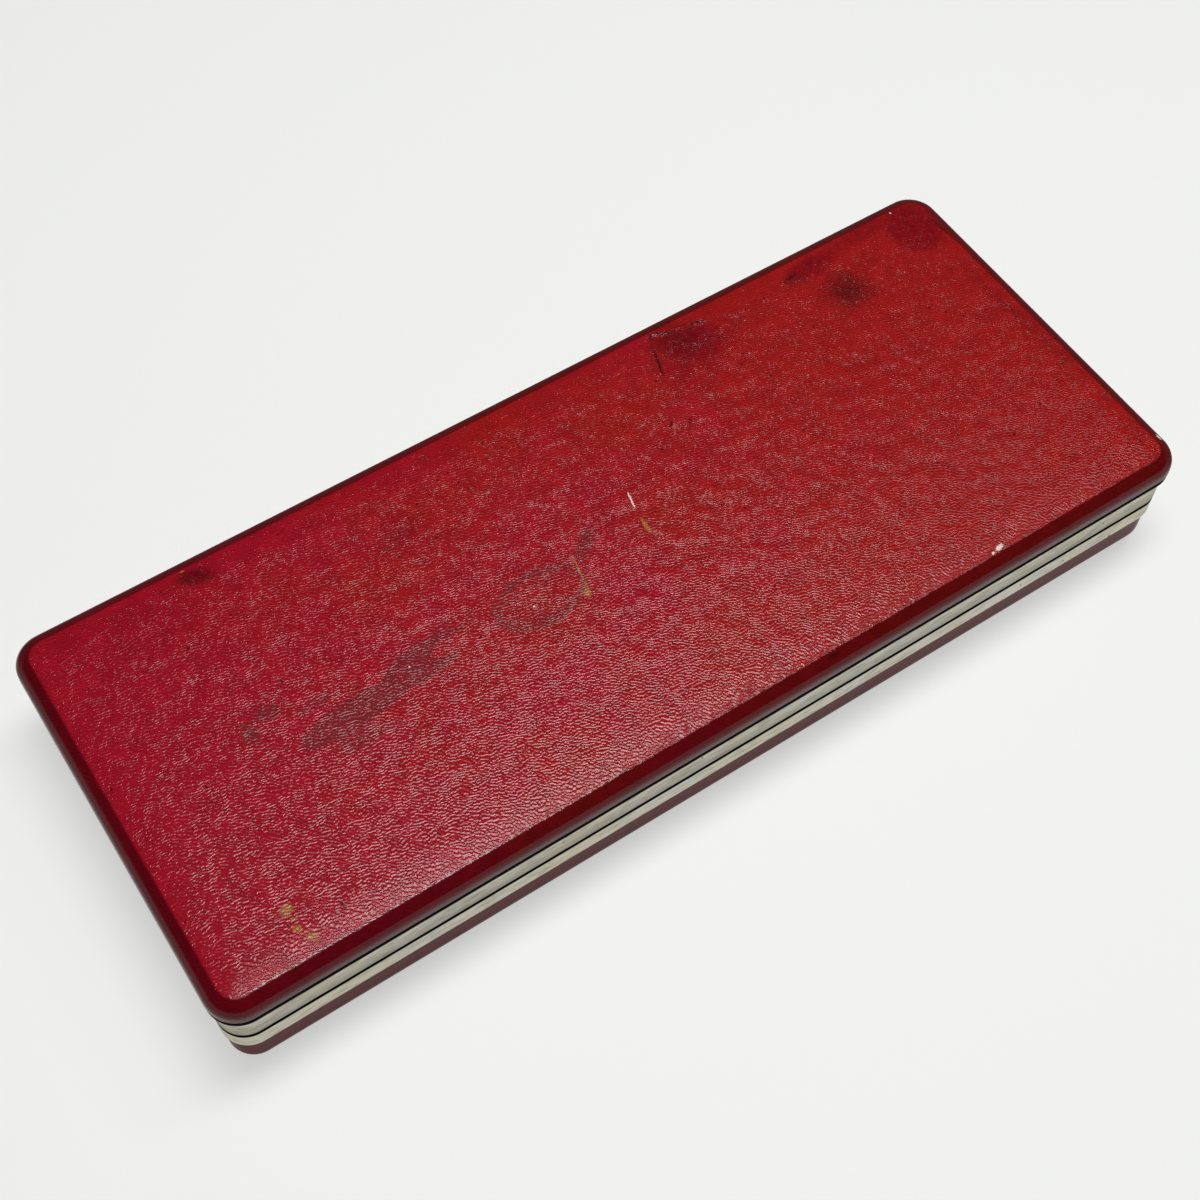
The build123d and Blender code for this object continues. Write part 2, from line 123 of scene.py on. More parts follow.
# %% [markdown]
# ## The camera
# The camera stands in front of the case, to its left, and looks down steeply from quite near,
# so the near corner is clearly larger than the far one. Its place is written as a distance from
# a point on the table, an azimuth round the case and an elevation above the table.

# %% Camera
SENSOR_WIDTH = 36.0
LENS = 56.365
CAMERA_TARGET = Vector((1.186, 7.796, 0.0)) * MM
CAMERA_DISTANCE = 450.33 * MM
CAMERA_AZIMUTH = radians(-34.674)
CAMERA_ELEVATION = radians(58.344)
CAMERA_ROLL = radians(1.597)

camera_back = Vector((
    sin(CAMERA_AZIMUTH) * cos(CAMERA_ELEVATION),
    -cos(CAMERA_AZIMUTH) * cos(CAMERA_ELEVATION),
    sin(CAMERA_ELEVATION),
))
level_right = Vector((cos(CAMERA_AZIMUTH), sin(CAMERA_AZIMUTH), 0.0))
level_up = camera_back.cross(level_right)
camera_right = cos(CAMERA_ROLL) * level_right + sin(CAMERA_ROLL) * level_up
camera_up = camera_back.cross(camera_right)
camera_data = bpy.data.cameras.new("camera")
camera_data.sensor_width = SENSOR_WIDTH
camera_data.lens = LENS
camera_data.clip_start = 0.01
camera = bpy.data.objects.new("camera", camera_data)
bpy.context.scene.collection.objects.link(camera)
camera_turn = Matrix((camera_right, camera_up, camera_back)).transposed().to_4x4()
camera.matrix_world = Matrix.Translation(CAMERA_TARGET + camera_back * CAMERA_DISTANCE) @ camera_turn
bpy.context.scene.camera = camera

# %% [markdown]
# ## Light and floor
# The case was photographed on a white table, under a ceiling that is bright overhead in a room
# whose walls are dim. That contrast shapes the leather: its wrinkles glint where they face the
# bright patch, and the rolled edge mirrors the dim walls as a deep red band. The world is that
# room: pale just above the table on the camera's side, dark elsewhere, with a glow that rises
# towards the zenith. Two ceiling panels in line make the glints sharp and give the faint shadow
# its edge. Part of the table's paleness is its own, for the camera and for mirrors, so the shadow
# stays light. In mirrors the table ends behind the case, so the far edges stay dark.

# %% World and lamp
ROOM_COLOUR = srgb("f1f3f4")
SKIRTING_LEVEL, ROOM_LEVEL, ZENITH_LEVEL = 0.75, 0.05, 3.7
SKIRTING_TOP = sin(radians(25))
ZENITH_FROM, ZENITH_TO = sin(radians(73)), sin(radians(88))
LAMP_HEIGHT = 0.80
LAMPS = {
    "near_panel": {"place": (0.05, -0.005), "size": (0.42, 0.23), "power": 3.5},
    "far_panel": {"place": (0.44, -0.02), "size": (0.36, 0.20), "power": 0.8},
}

world = bpy.data.worlds.new("studio")
bpy.context.scene.world = world
world.use_nodes = True
sky = world.node_tree
sky.nodes.clear()
direction = add(sky, "TexCoord").outputs["Generated"]
rise = add(sky, "SeparateXYZ", None, {0: direction}).outputs["Z"]
towards_camera = add(
    sky, "VectorMath", {"operation": "DOT_PRODUCT"},
    {0: direction, 1: (camera_back.x, camera_back.y, 0.0)},
).outputs["Value"]
skirting = add(
    sky, "MapRange", {"interpolation_type": "SMOOTHSTEP"},
    {
        "Value": towards_camera, "From Min": -0.25, "From Max": 0.05,
        "To Min": 0.12, "To Max": SKIRTING_LEVEL,
    },
).outputs["Result"]
low_level = add(
    sky, "MapRange", {"interpolation_type": "SMOOTHSTEP"},
    {
        "Value": rise, "From Min": 0.6 * SKIRTING_TOP, "From Max": SKIRTING_TOP,
        "To Min": skirting, "To Max": ROOM_LEVEL,
    },
).outputs["Result"]
high_level = add(
    sky, "MapRange", {"interpolation_type": "SMOOTHSTEP"},
    {"Value": rise, "From Min": ZENITH_FROM, "From Max": ZENITH_TO, "To Max": ZENITH_LEVEL},
).outputs["Result"]
sky_level = add(sky, "Math", {"operation": "ADD"}, {0: low_level, 1: high_level}).outputs[0]
background = add(sky, "Background", None, {"Color": ROOM_COLOUR, "Strength": sky_level})
add(sky, "OutputWorld", None, {"Surface": background.outputs[0]})

for lamp_name, panel in LAMPS.items():
    lamp_data = bpy.data.lights.new(lamp_name, "AREA")
    lamp_data.shape = "ELLIPSE"
    lamp_data.size, lamp_data.size_y = panel["size"]
    lamp_data.energy = panel["power"]
    lamp = bpy.data.objects.new(lamp_name, lamp_data)
    bpy.context.scene.collection.objects.link(lamp)
    lamp.location = (*panel["place"], LAMP_HEIGHT)

# %% Floor
FLOOR_HALF = 3.0
FLOOR_PALENESS = 0.56
MIRRORED_PALENESS = 0.1
TABLE_FADES = (0.005, 0.045)
floor_mesh = bpy.data.meshes.new("floor")
floor_mesh.from_pydata(
    [(x * FLOOR_HALF, y * FLOOR_HALF, 0.0) for x, y in ((-1, -1), (1, -1), (1, 1), (-1, 1))],
    [], [(0, 1, 2, 3)],
)
floor = bpy.data.objects.new("floor", floor_mesh)
bpy.context.scene.collection.objects.link(floor)
floor_material, floor_tree, floor_shader = new_material("white_laminate_table")
floor_shader.inputs["Base Color"].default_value = srgb("f4f5f2")
floor_shader.inputs["Roughness"].default_value = 0.6
rays = add(floor_tree, "LightPath").outputs
seen = add(
    floor_tree, "Math", {"operation": "MAXIMUM"},
    {0: rays["Is Camera Ray"], 1: rays["Is Transmission Ray"]},
).outputs[0]
seen = add(floor_tree, "Math", {"operation": "MULTIPLY"}, {0: seen, 1: FLOOR_PALENESS}).outputs[0]
paleness = add(
    floor_tree, "Math", {"operation": "MULTIPLY_ADD"},
    {0: rays["Is Glossy Ray"], 1: MIRRORED_PALENESS, 2: seen},
).outputs[0]
pale = add(floor_tree, "Emission", None, {"Color": srgb("fdfefc"), "Strength": 1.0}).outputs[0]
pale_floor = add(
    floor_tree, "MixShader", None,
    {0: paleness, 1: floor_shader.outputs["BSDF"], 2: pale},
).outputs[0]
floor_place = add(floor_tree, "TexCoord").outputs["Object"]
behind = add(
    floor_tree, "VectorMath", {"operation": "DOT_PRODUCT"},
    {0: floor_place, 1: (-camera_back.x, -camera_back.y, 0.0)},
).outputs["Value"]
behind = add(
    floor_tree, "MapRange", {"interpolation_type": "SMOOTHSTEP"},
    {"Value": behind, "From Min": TABLE_FADES[0], "From Max": TABLE_FADES[1], "To Max": 0.88},
).outputs["Result"]
mirrored_end = add(
    floor_tree, "Math", {"operation": "MULTIPLY"}, {0: rays["Is Glossy Ray"], 1: behind}
).outputs[0]
dim_room = add(
    floor_tree, "Emission", None, {"Color": ROOM_COLOUR, "Strength": ROOM_LEVEL}
).outputs[0]
pale_floor = add(
    floor_tree, "MixShader", None, {0: mirrored_end, 1: pale_floor, 2: dim_room}
).outputs[0]
floor_output = floor_tree.nodes["Material Output"]
floor_tree.links.new(pale_floor, floor_output.inputs["Surface"])
floor_mesh.materials.append(floor_material)

bpy.context.scene.view_settings.view_transform = "Standard"

# %% [markdown]
# ## One outline carries every layer
# Seen from above, each layer of the case is the same rounded rectangle, only a little further
# in. So a layer is a profile carried round that outline: a list of insets and heights. The
# outline is worked out for all insets at once, as an array, and the four corners are arcs whose
# radius shrinks with the inset. Where a profile runs in to the middle, front and back meet on
# the centre line and are merged, so the skin is closed.

# %% The outline and the profile that is carried round it
CORNER_RADIUS = 7.5
SMALLEST_CORNER = 1.0


def outline_samples(step, arc_steps):
    """For each point round the outline: how far its corner centre is along X and Y, from -1 to 1,
    and the direction from that centre. Straight runs are cut at about step mm."""
    half = np.array([case_size.x, case_size.y]) / 2 - CORNER_RADIUS
    along_x = np.linspace(-1, 1, int(round(2 * half[0] / step)) + 1)[1:-1]
    along_y = np.linspace(-1, 1, int(round(2 * half[1] / step)) + 1)[1:-1]
    places, directions = [], []
    runs = [(along_x, -1), (along_y, 1), (-along_x, 1), (-along_y, -1)]
    for side, (run, fixed) in enumerate(runs):
        quarter = -pi / 2 + side * pi / 2
        straight = np.tile([cos(quarter), sin(quarter)], (len(run), 1))
        fixed_column = np.full(len(run), fixed)
        columns = (run, fixed_column) if side % 2 == 0 else (fixed_column, run)
        places.append(np.stack(columns, 1))
        directions.append(straight)
        angles = quarter + np.linspace(0, pi / 2, arc_steps + 1)
        corner = np.sign([cos(quarter + pi / 4), sin(quarter + pi / 4)])
        places.append(np.tile(corner, (len(angles), 1)))
        directions.append(np.stack([np.cos(angles), np.sin(angles)], 1))
    return np.concatenate(places), np.concatenate(directions)


def carried_profile(insets, heights, step=2.0, arc_steps=8):
    """Points (profile, outline, 3) in mm: centre + radius * direction, with the corner centre at
    half size - inset - radius and the radius at corner radius - inset, kept over zero."""
    places, directions = outline_samples(step, arc_steps)
    insets = np.asarray(insets, float)[:, None]
    heights = np.asarray(heights, float)[:, None]
    room = case_size.y / 2 - insets
    radius = np.minimum(np.maximum(CORNER_RADIUS - insets, SMALLEST_CORNER), np.maximum(room, 0))
    centre_x = np.maximum(case_size.x / 2 - insets - radius, 0)
    centre_y = np.maximum(room - radius, 0)
    x = places[:, 0] * centre_x + directions[:, 0] * radius
    y = places[:, 1] * centre_y + directions[:, 1] * radius
    z = np.broadcast_to(heights, x.shape)
    return np.stack([x, y, z], -1)


def grid_faces(rows, columns, loop_rows=False, loop_columns=False):
    """Quads of a grid, as an array of four corners each; a looped direction joins its ends."""
    index = np.arange(rows * columns).reshape(rows, columns)
    if loop_rows:
        index = np.concatenate([index, index[:1]], 0)
    if loop_columns:
        index = np.concatenate([index, index[:, :1]], 1)
    corners = (index[:-1, :-1], index[:-1, 1:], index[1:, 1:], index[1:, :-1])
    return np.stack(corners, -1).reshape(-1, 4)


def build(name, points, faces, material, fields=None, smooth=True):
    """A mesh object at the origin from points in mm and an array of quads, with point attributes."""
    mesh = bpy.data.meshes.new(name)
    flat = np.ascontiguousarray(points.reshape(-1, 3) * MM, np.float32)
    mesh.vertices.add(len(flat))
    mesh.vertices.foreach_set("co", flat.ravel())
    mesh.loops.add(faces.size)
    mesh.loops.foreach_set("vertex_index", faces.astype(np.int32).ravel())
    mesh.polygons.add(len(faces))
    mesh.polygons.foreach_set("loop_start", np.arange(0, faces.size, 4, dtype=np.int32))
    mesh.update(calc_edges=True)
    for field, values in (fields or {}).items():
        is_vector = values.shape == points.shape
        layer = mesh.attributes.new(field, "FLOAT_VECTOR" if is_vector else "FLOAT", "POINT")
        layer.data.foreach_set("vector" if is_vector else "value", values.astype(np.float32).ravel())
    weld(mesh)
    mesh.polygons.foreach_set("use_smooth", np.full(len(mesh.polygons), smooth))
    mesh.materials.append(material)
    made = bpy.data.objects.new(name, mesh)
    bpy.context.scene.collection.objects.link(made)
    return made


def weld(mesh):
    """Merges points that coincide, drops what collapses, and turns all faces outwards."""
    work = bmesh.new()
    work.from_mesh(mesh)
    bmesh.ops.remove_doubles(work, verts=work.verts, dist=1e-6)
    bmesh.ops.dissolve_degenerate(work, edges=work.edges, dist=1e-7)
    bmesh.ops.recalc_face_normals(work, faces=work.faces)
    work.to_mesh(mesh)
    work.free()


def applied_mesh(piece):
    """A new mesh of a piece with its modifiers applied."""
    graph = bpy.context.evaluated_depsgraph_get()
    return bpy.data.meshes.new_from_object(piece.evaluated_get(graph))


def arc(centre_inset, centre_height, radius, start, end, steps):
    """Insets and heights of an arc in the profile; the angle is 0 outwards and 90 degrees up."""
    angles = np.radians(np.linspace(start, end, steps + 1))
    return centre_inset - radius * np.cos(angles), centre_height + radius * np.sin(angles)


def joined(*stretches):
    """One profile from several (insets, heights) stretches."""
    insets = np.concatenate([np.atleast_1d(s[0]) for s in stretches])
    heights = np.concatenate([np.atleast_1d(s[1]) for s in stretches])
    return insets, heights


def span(node):
    """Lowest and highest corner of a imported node, in mm."""
    low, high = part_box(node)
    return low / MM, high / MM


# %% [markdown]
# ## Red leathercloth
# The skin is leathercloth: a fine cotton with a coat of dyed cellulose, rolled while soft against
# an embossed drum. The drum leaves wavy wrinkles that nearly all lie one way, 0.72 mm apart and
# about three times as long. Gabor noise is made of just such short waves of one length and one
# leaning, so it draws them with no other help than a slow sway. It is laid on the cloth as it was
# before it was folded round the edge, which each skin carries as an attribute, so the wrinkles
# follow the fold. The coat is glossy: a wrinkle glints where it faces the lamp, and the cloth
# that is pulled round the edge is smooth and mirrors the dark side of the room. Its colour is
# also darkened there, and in the wrinkles' valleys, as painted shade.

# %% Sizes of the grain
GRAIN_PITCH = 0.72 * MM
GRAIN_CELL = 1.15 * MM
GRAIN_LEAN = 0.60
GRAIN_ANGLE = radians(-31)
GRAIN_SWAY_SIZE = 5.0 * MM
GRAIN_SWAY = 0.7 * MM
GRAIN_RELIEF = 0.047 * MM
PORE_SIZE = 0.30 * MM
RAGGED_SIZE = 1.6 * MM
SPECK_SPACING = 3.4 * MM
SPECK_LARGEST = 0.11
CLOUD_SIZE = 26 * MM
MOTTLE_SIZE = 5 * MM

# %% [markdown]
# The coat's colour is a crimson at the left and a warmer brick red at the right, where it has
# seen more light. Over it lie the marks of use, from the widest to the smallest: soaked patches,
# stains, grey rubs, then scars, scratches down to the gold ground coat, and white chips. Some of
# the soaked patches, stains and scars are painted shade: the dark of the dent and its creases,
# and a dark foot along the lid skin's cut edge. Each is a field that the skin carries, from 0 to 1,
# and fine noise frays its edge before it is cut.

# %% Colours of the leathercloth
CRIMSON = srgb("a80f25")
BRICK = srgb("a51717")
SOAKED_AND_DENT_SHADE = srgb("7a0414")
STAINED_AND_SHADED = srgb("340705")
RUBBED = srgb("7a1d22")
GROUND_COAT = srgb("a8782f")
CHIPPED = srgb("e6dccb")


def frayed(tree, field, fray, low, high):
    """A soft field cut at an uneven edge: field + field * noise, then a step up from low to high."""
    noisy = add(
        tree, "Math", {"operation": "MULTIPLY_ADD"}, {0: field, 1: fray, 2: field}
    ).outputs[0]
    return add(
        tree, "MapRange", {"interpolation_type": "SMOOTHSTEP"},
        {"Value": noisy, "From Min": low, "From Max": high},
    ).outputs["Result"]


# %% Embossed grain as a bump
def emboss(tree, cloth, smoothing):
    """The bump of Gabor waves across the lean of the grain on the swayed cloth, plus pores. Gives
    the bump and both heights."""
    sway = add(
        tree, "TexNoise", {"noise_dimensions": "2D"},
        {"Vector": cloth, "Scale": 1 / GRAIN_SWAY_SIZE, "Detail": 1.0},
    ).outputs["Color"]
    sway = add(
        tree, "VectorMath", {"operation": "SUBTRACT"}, {0: sway, 1: (0.5, 0.5, 0.5)}
    ).outputs[0]
    swayed = add(
        tree, "VectorMath", {"operation": "MULTIPLY_ADD"},
        {0: sway, 1: (2 * GRAIN_SWAY,) * 3, 2: cloth},
    ).outputs[0]
    turned = add(
        tree, "Mapping", {"vector_type": "TEXTURE"},
        {"Vector": swayed, "Rotation": (0, 0, GRAIN_ANGLE), "Scale": (GRAIN_CELL,) * 3},
    ).outputs[0]
    waves = add(
        tree, "TexGabor", {"gabor_type": "2D"},
        {
            "Vector": turned, "Scale": 1.0, "Frequency": GRAIN_CELL / GRAIN_PITCH,
            "Anisotropy": GRAIN_LEAN, 4: radians(90),
        },
    ).outputs["Phase"]
    turns = add(tree, "Math", {"operation": "MULTIPLY"}, {0: waves, 1: 2 * pi}).outputs[0]
    ridges = add(tree, "Math", {"operation": "SINE"}, {0: turns}).outputs[0]
    ridges = add(
        tree, "Math", {"operation": "MULTIPLY_ADD"}, {0: ridges, 1: 0.5, 2: 0.5}
    ).outputs[0]
    pores = add(
        tree, "TexNoise", {"noise_dimensions": "2D"},
        {"Vector": cloth, "Scale": 1 / PORE_SIZE, "Detail": 1.0},
    ).outputs["Fac"]
    height = add(
        tree, "Math", {"operation": "MULTIPLY_ADD"}, {0: pores, 1: 0.10, 2: ridges}
    ).outputs[0]
    strength = add(
        tree, "MapRange", None, {"Value": smoothing, "To Min": 1.0, "To Max": 0.12}
    ).outputs["Result"]
    bump = add(
        tree, "Bump", None,
        {"Strength": strength, "Distance": GRAIN_RELIEF, "Height": height},
    ).outputs["Normal"]
    return bump, ridges, pores


# %% The leathercloth material
def make_leathercloth(name, shine):
    """Crimson to brick coat, with painted shade in its valleys and on the pulled cloth of the rolls,
    and with each mark of use, some of them painted shade, laid over it.
    """
    material, tree, shader = new_material(name)
    position = add(tree, "TexCoord").outputs["Object"]
    fields = {
        field: add(tree, "Attribute", {"attribute_name": field}).outputs
        for field in ("cloth", "pulled", "rub", "stain_and_shade", "soak_and_dent_shade", "scar_and_crease_shade", "scratch", "chip")
    }
    cloth, pulled = fields["cloth"]["Vector"], fields["pulled"]["Fac"]
    bump, ridges, pores = emboss(tree, cloth, pulled)

    cloud = add(
        tree, "TexNoise", None,
        {"Vector": position, "Scale": 1 / CLOUD_SIZE, "Detail": 3.0, "Roughness": 0.6},
    ).outputs["Fac"]
    across = add(tree, "SeparateXYZ", None, {0: position}).outputs["X"]
    brickness = add(
        tree, "Math", {"operation": "MULTIPLY_ADD"}, {0: across, 1: 2.5, 2: cloud}
    ).outputs[0]
    brickness = add(
        tree, "MapRange", {"interpolation_type": "SMOOTHSTEP"},
        {"Value": brickness, "From Min": 0.25, "From Max": 0.62},
    ).outputs["Result"]
    colour = add(
        tree, "Mix", {"data_type": "RGBA"},
        {0: brickness, MIX_A: CRIMSON, MIX_B: BRICK},
    ).outputs[MIX_RESULT]
    mottle = add(
        tree, "TexNoise", {"noise_dimensions": "2D"},
        {"Vector": cloth, "Scale": 1 / MOTTLE_SIZE, "Detail": 4.0, "Roughness": 0.65},
    ).outputs["Fac"]
    shade = add(
        tree, "MapRange", None,
        {"Value": mottle, "From Min": 0.3, "From Max": 0.7, "To Min": 0.84, "To Max": 1.10},
    ).outputs["Result"]
    # Painted shade: the wrinkles' valleys are darker than their ridges
    painted_valley_shade = add(
        tree, "MapRange", None, {"Value": ridges, "To Min": 0.80, "To Max": 1.06}
    ).outputs["Result"]
    shade = add(tree, "Math", {"operation": "MULTIPLY"}, {0: shade, 1: painted_valley_shade}).outputs[0]
    # Painted shade: the cloth pulled round the rolls and walls is darkened to about a third
    darkening_factor = add(
        tree, "MapRange", None, {"Value": pulled, "To Min": 1.0, "To Max": 0.32}
    ).outputs["Result"]
    shade = add(tree, "Math", {"operation": "MULTIPLY"}, {0: shade, 1: darkening_factor}).outputs[0]
    colour = add(
        tree, "VectorMath", {"operation": "SCALE"}, {0: colour, "Scale": shade}
    ).outputs[0]

    fray = add(
        tree, "MapRange", None, {"Value": pores, "To Min": -1.2, "To Max": 1.2}
    ).outputs["Result"]
    ragged = add(
        tree, "TexNoise", {"noise_dimensions": "2D"},
        {"Vector": cloth, "Scale": 1 / RAGGED_SIZE, "Detail": 4.0, "Roughness": 0.7},
    ).outputs["Fac"]
    tear = add(
        tree, "MapRange", None,
        {"Value": ragged, "From Min": 0.25, "From Max": 0.75, "To Min": -0.55, "To Max": 0.55},
    ).outputs["Result"]
    small = {}
    for mark in ("scar_and_crease_shade", "scratch", "chip"):
        small[mark] = add(
            tree, "TexGradient", {"gradient_type": "SPHERICAL"}, {0: fields[mark]["Vector"]}
        ).outputs["Fac"]
    scratch_cover = frayed(tree, small["scratch"], fray, 0.15, 0.75)
    patchy = add(
        tree, "MapRange", None,
        {"Value": ragged, "From Min": 0.3, "From Max": 0.7, "To Min": 0.60, "To Max": 1.0},
    ).outputs["Result"]
    rub_cover = add(
        tree, "Math", {"operation": "MULTIPLY"},
        {0: frayed(tree, fields["rub"]["Fac"], tear, 0.0, 0.5), 1: patchy},
    ).outputs[0]
    stain_and_shade_cover = add(
        tree, "Math", {"operation": "MULTIPLY", "use_clamp": True},
        {0: frayed(tree, fields["stain_and_shade"]["Fac"], fray, -0.2, 1.2), 1: patchy},
    ).outputs[0]
    specks = add(
        tree, "TexVoronoi", {"voronoi_dimensions": "2D"},
        {"Vector": cloth, "Scale": 1 / SPECK_SPACING},
    )
    speck_size = add(
        tree, "MapRange", None,
        {"Value": specks.outputs["Color"], "From Min": 0.66, "From Max": 0.92, "To Max": SPECK_LARGEST},
    ).outputs["Result"]
    speck_cover = add(
        tree, "Math", {"operation": "LESS_THAN"}, {0: specks.outputs["Distance"], 1: speck_size}
    ).outputs[0]
    speck_cover = add(
        tree, "Math", {"operation": "MULTIPLY"}, {0: speck_cover, 1: 0.75}
    ).outputs[0]
    gold_cover = add(
        tree, "Math", {"operation": "MULTIPLY"}, {0: scratch_cover, 1: 0.78}
    ).outputs[0]
    layers = [
        (frayed(tree, fields["soak_and_dent_shade"]["Fac"], tear, -0.1, 1.1), SOAKED_AND_DENT_SHADE),
        (stain_and_shade_cover, STAINED_AND_SHADED),
        (rub_cover, RUBBED),
        (speck_cover, STAINED_AND_SHADED),
        (frayed(tree, small["scar_and_crease_shade"], fray, 0.1, 1.0), STAINED_AND_SHADED),
        (gold_cover, GROUND_COAT),
        (frayed(tree, small["chip"], fray, 0.2, 0.5), CHIPPED),
    ]
    for cover, paint in layers:
        colour = add(
            tree, "Mix", {"data_type": "RGBA"}, {0: cover, MIX_A: colour, MIX_B: paint}
        ).outputs[MIX_RESULT]

    dulled = add(
        tree, "Math", {"operation": "MAXIMUM"}, {0: rub_cover, 1: scratch_cover}
    ).outputs[0]
    gloss = add(
        tree, "MapRange", None, {"Value": pulled, "To Min": 0.21, "To Max": 0.10}
    ).outputs["Result"]
    roughness = add(
        tree, "Math", {"operation": "MULTIPLY_ADD"}, {0: dulled, 1: 0.04, 2: gloss}
    ).outputs[0]
    feed(tree, shader, {
        "Base Color": colour, "Roughness": roughness, "Normal": bump, "IOR": 1.48,
        "Specular IOR Level": shine,
    })
    return material


# The eye gets crisp glints on the lid's wrinkles, and a plainer, softer red on the base
leathercloth = make_leathercloth("cellulose_coated_leathercloth", shine=0.32)
dull_leathercloth = make_leathercloth("leathercloth_dulled_by_tables", shine=0.10)

# %% [markdown]
# ## The lid's skin
# The skin is one piece drawn over the pressed lid: nearly flat on top, with a roll at the edge
# that turns quickly, runs on as a long bevel and turns quickly again, and a short wall below. It
# is a profile that starts at the centre line, runs out, rolls over, turns under the cut edge and
# comes back inside. Near the back two creases meet in an L, where a corner of something hard
# pressed the lid in. The dent is full depth at the creases and fades away from them. The whole
# top also falls a little towards its edge, as a pressed lid does.

# %% Shape of the lid's skin
SKIN = 0.7
lid_low, lid_high = span("lid_covering")
CROWN_RADIUS = 5.2
ROLL = ((2.8, 83, 66, 5), (9.5, 66, 54, 6), (2.8, 54, 3, 9))
WALL_LEAN = radians(3)
BEAD_SHOWING = 0.75
FINE_STEP = 0.75
DENT_CORNER = np.array([39.8, 46.3])
DENT_FOOT = np.array([34.0, 27.5])
DENT_SIDE = np.array([56.0, 42.2])
DENT_DEPTH = 0.32
FALL, FALL_RUN = 0.42, 6.9
UNEVENNESS = 0.03


def smooth_step(value):
    """0 below 0, 1 above 1, and 3 v^2 - 2 v^3 between."""
    v = np.clip(value, 0, 1)
    return v * v * (3 - 2 * v)


def beside(x, y, start, end):
    """Distance from the line through start and end, positive on its right-hand side."""
    run = (end - start) / np.linalg.norm(end - start)
    return (x - start[0]) * run[1] - (y - start[1]) * run[0]


def share_along(x, y, start, end):
    """Share of the way from start to end, 0 at the start and 1 at the end."""
    run = end - start
    return ((x - start[0]) * run[0] + (y - start[1]) * run[1]) / (run @ run)


def dent(x, y):
    """Depth of the dent in mm: a steep bank at each crease, and a slow rise away from them."""
    from_long = -beside(x, y, DENT_CORNER, DENT_FOOT)
    from_short = beside(x, y, DENT_CORNER, DENT_SIDE)
    bank_long = smooth_step(from_long / 1.0) * np.exp(-np.maximum(from_long, 0) / 9.0)
    bank_short = smooth_step(from_short / 1.0) * np.exp(-np.maximum(from_short, 0) / 9.0)
    fade = 1 - smooth_step((share_along(x, y, DENT_CORNER, DENT_FOOT) - 0.45) / 0.65)
    return DENT_DEPTH * bank_long * bank_short**0.5 * fade


def unevenness(x, y):
    """A sheet that is not quite flat: slow waves of different lengths, in mm, never above 0."""
    waves = np.sin(x / 23 + 1.1) * np.cos(y / 17 + 0.4) + 0.6 * np.sin(x / 9.5 - y / 13)
    return UNEVENNESS * (waves + 0.5 * np.cos(x / 41 + y / 29) - 2.1)


def unfolded(points, profile, step, arc_steps, shift=0.0):
    """Where each point lay on the flat cloth, in metres: its place in plan, pushed outwards by the
    length of profile from the centre less the way that this went outwards."""
    insets, heights = (np.asarray(p, float) for p in profile)
    runs = np.hypot(np.diff(insets), np.diff(heights))
    length = np.concatenate([[0], np.cumsum(runs)])
    beyond = length - (insets[0] - insets)
    directions = outline_samples(step, arc_steps)[1]
    flat = np.zeros_like(points)
    flat[..., :2] = points[..., :2] + directions[None] * beyond[:, None, None]
    flat[..., 0] += shift
    return flat * MM


def rolled_edge(turns):
    """The roll as arcs that follow on smoothly: each goes radius * (cos b - cos a) outwards and
    radius * (sin a - sin b) down while the way it faces turns from a to b degrees above level."""
    out, down = [np.zeros(1)], [np.zeros(1)]
    for radius, first, last, steps in turns:
        angles = np.radians(np.linspace(first, last, steps + 1))[1:]
        out.append(out[-1][-1] + radius * (np.cos(angles) - cos(radians(first))))
        down.append(down[-1][-1] + radius * (sin(radians(first)) - np.sin(angles)))
    return np.concatenate(out), np.concatenate(down)


roll_out, roll_down = rolled_edge(ROLL)
skin_foot = lid_low.z + BEAD_SHOWING
wall_top = lid_high.z - FALL - roll_down[-1]
wall_heights = np.array([0.67 * wall_top + 0.33 * skin_foot, skin_foot + 0.45, skin_foot + 0.15])
wall_insets = (wall_heights - wall_heights[-1]) * np.tan(WALL_LEAN)
roll_start = roll_out[-1] + (wall_top - wall_heights[-1]) * np.tan(WALL_LEAN)
top_insets = np.concatenate([
    np.linspace(case_size.y / 2, roll_start + FALL_RUN, 50),
    np.linspace(roll_start + FALL_RUN, roll_start, 14)[1:-1],
])
top_fall = FALL * np.clip((roll_start + FALL_RUN - top_insets) / FALL_RUN, 0, 1) ** 2
print("roll starts", round(roll_start, 2), "mm in; wall", round(wall_top - skin_foot, 2), "mm high")
lid_profile = joined(
    (top_insets, lid_high.z - top_fall),
    (roll_start - roll_out, lid_high.z - FALL - roll_down),
    (wall_insets, wall_heights),
    arc(0.15, skin_foot + 0.15, 0.15, -45, -90, 1),
    arc(SKIN - 0.15, skin_foot + 0.15, 0.15, -90, -180, 1),
    arc(CROWN_RADIUS, lid_high.z - CROWN_RADIUS, CROWN_RADIUS - SKIN, 0, 90, 5),
    (np.linspace(CROWN_RADIUS + 8, case_size.y / 2, 4), np.full(4, lid_high.z - SKIN)),
)
lid_points = carried_profile(*lid_profile, step=FINE_STEP, arc_steps=12)
print("lid skin", lid_points.shape)

# %% [markdown]
# The wide marks are fields on the same grid of points, each an ellipse that fades at its rim:
# a long grey rub that is clear in its middle, a second one that is only a ring, stained spots,
# and soaked patches at the far corner. Two stains and a soaked patch in the dent near the back
# are painted shade of the dent.


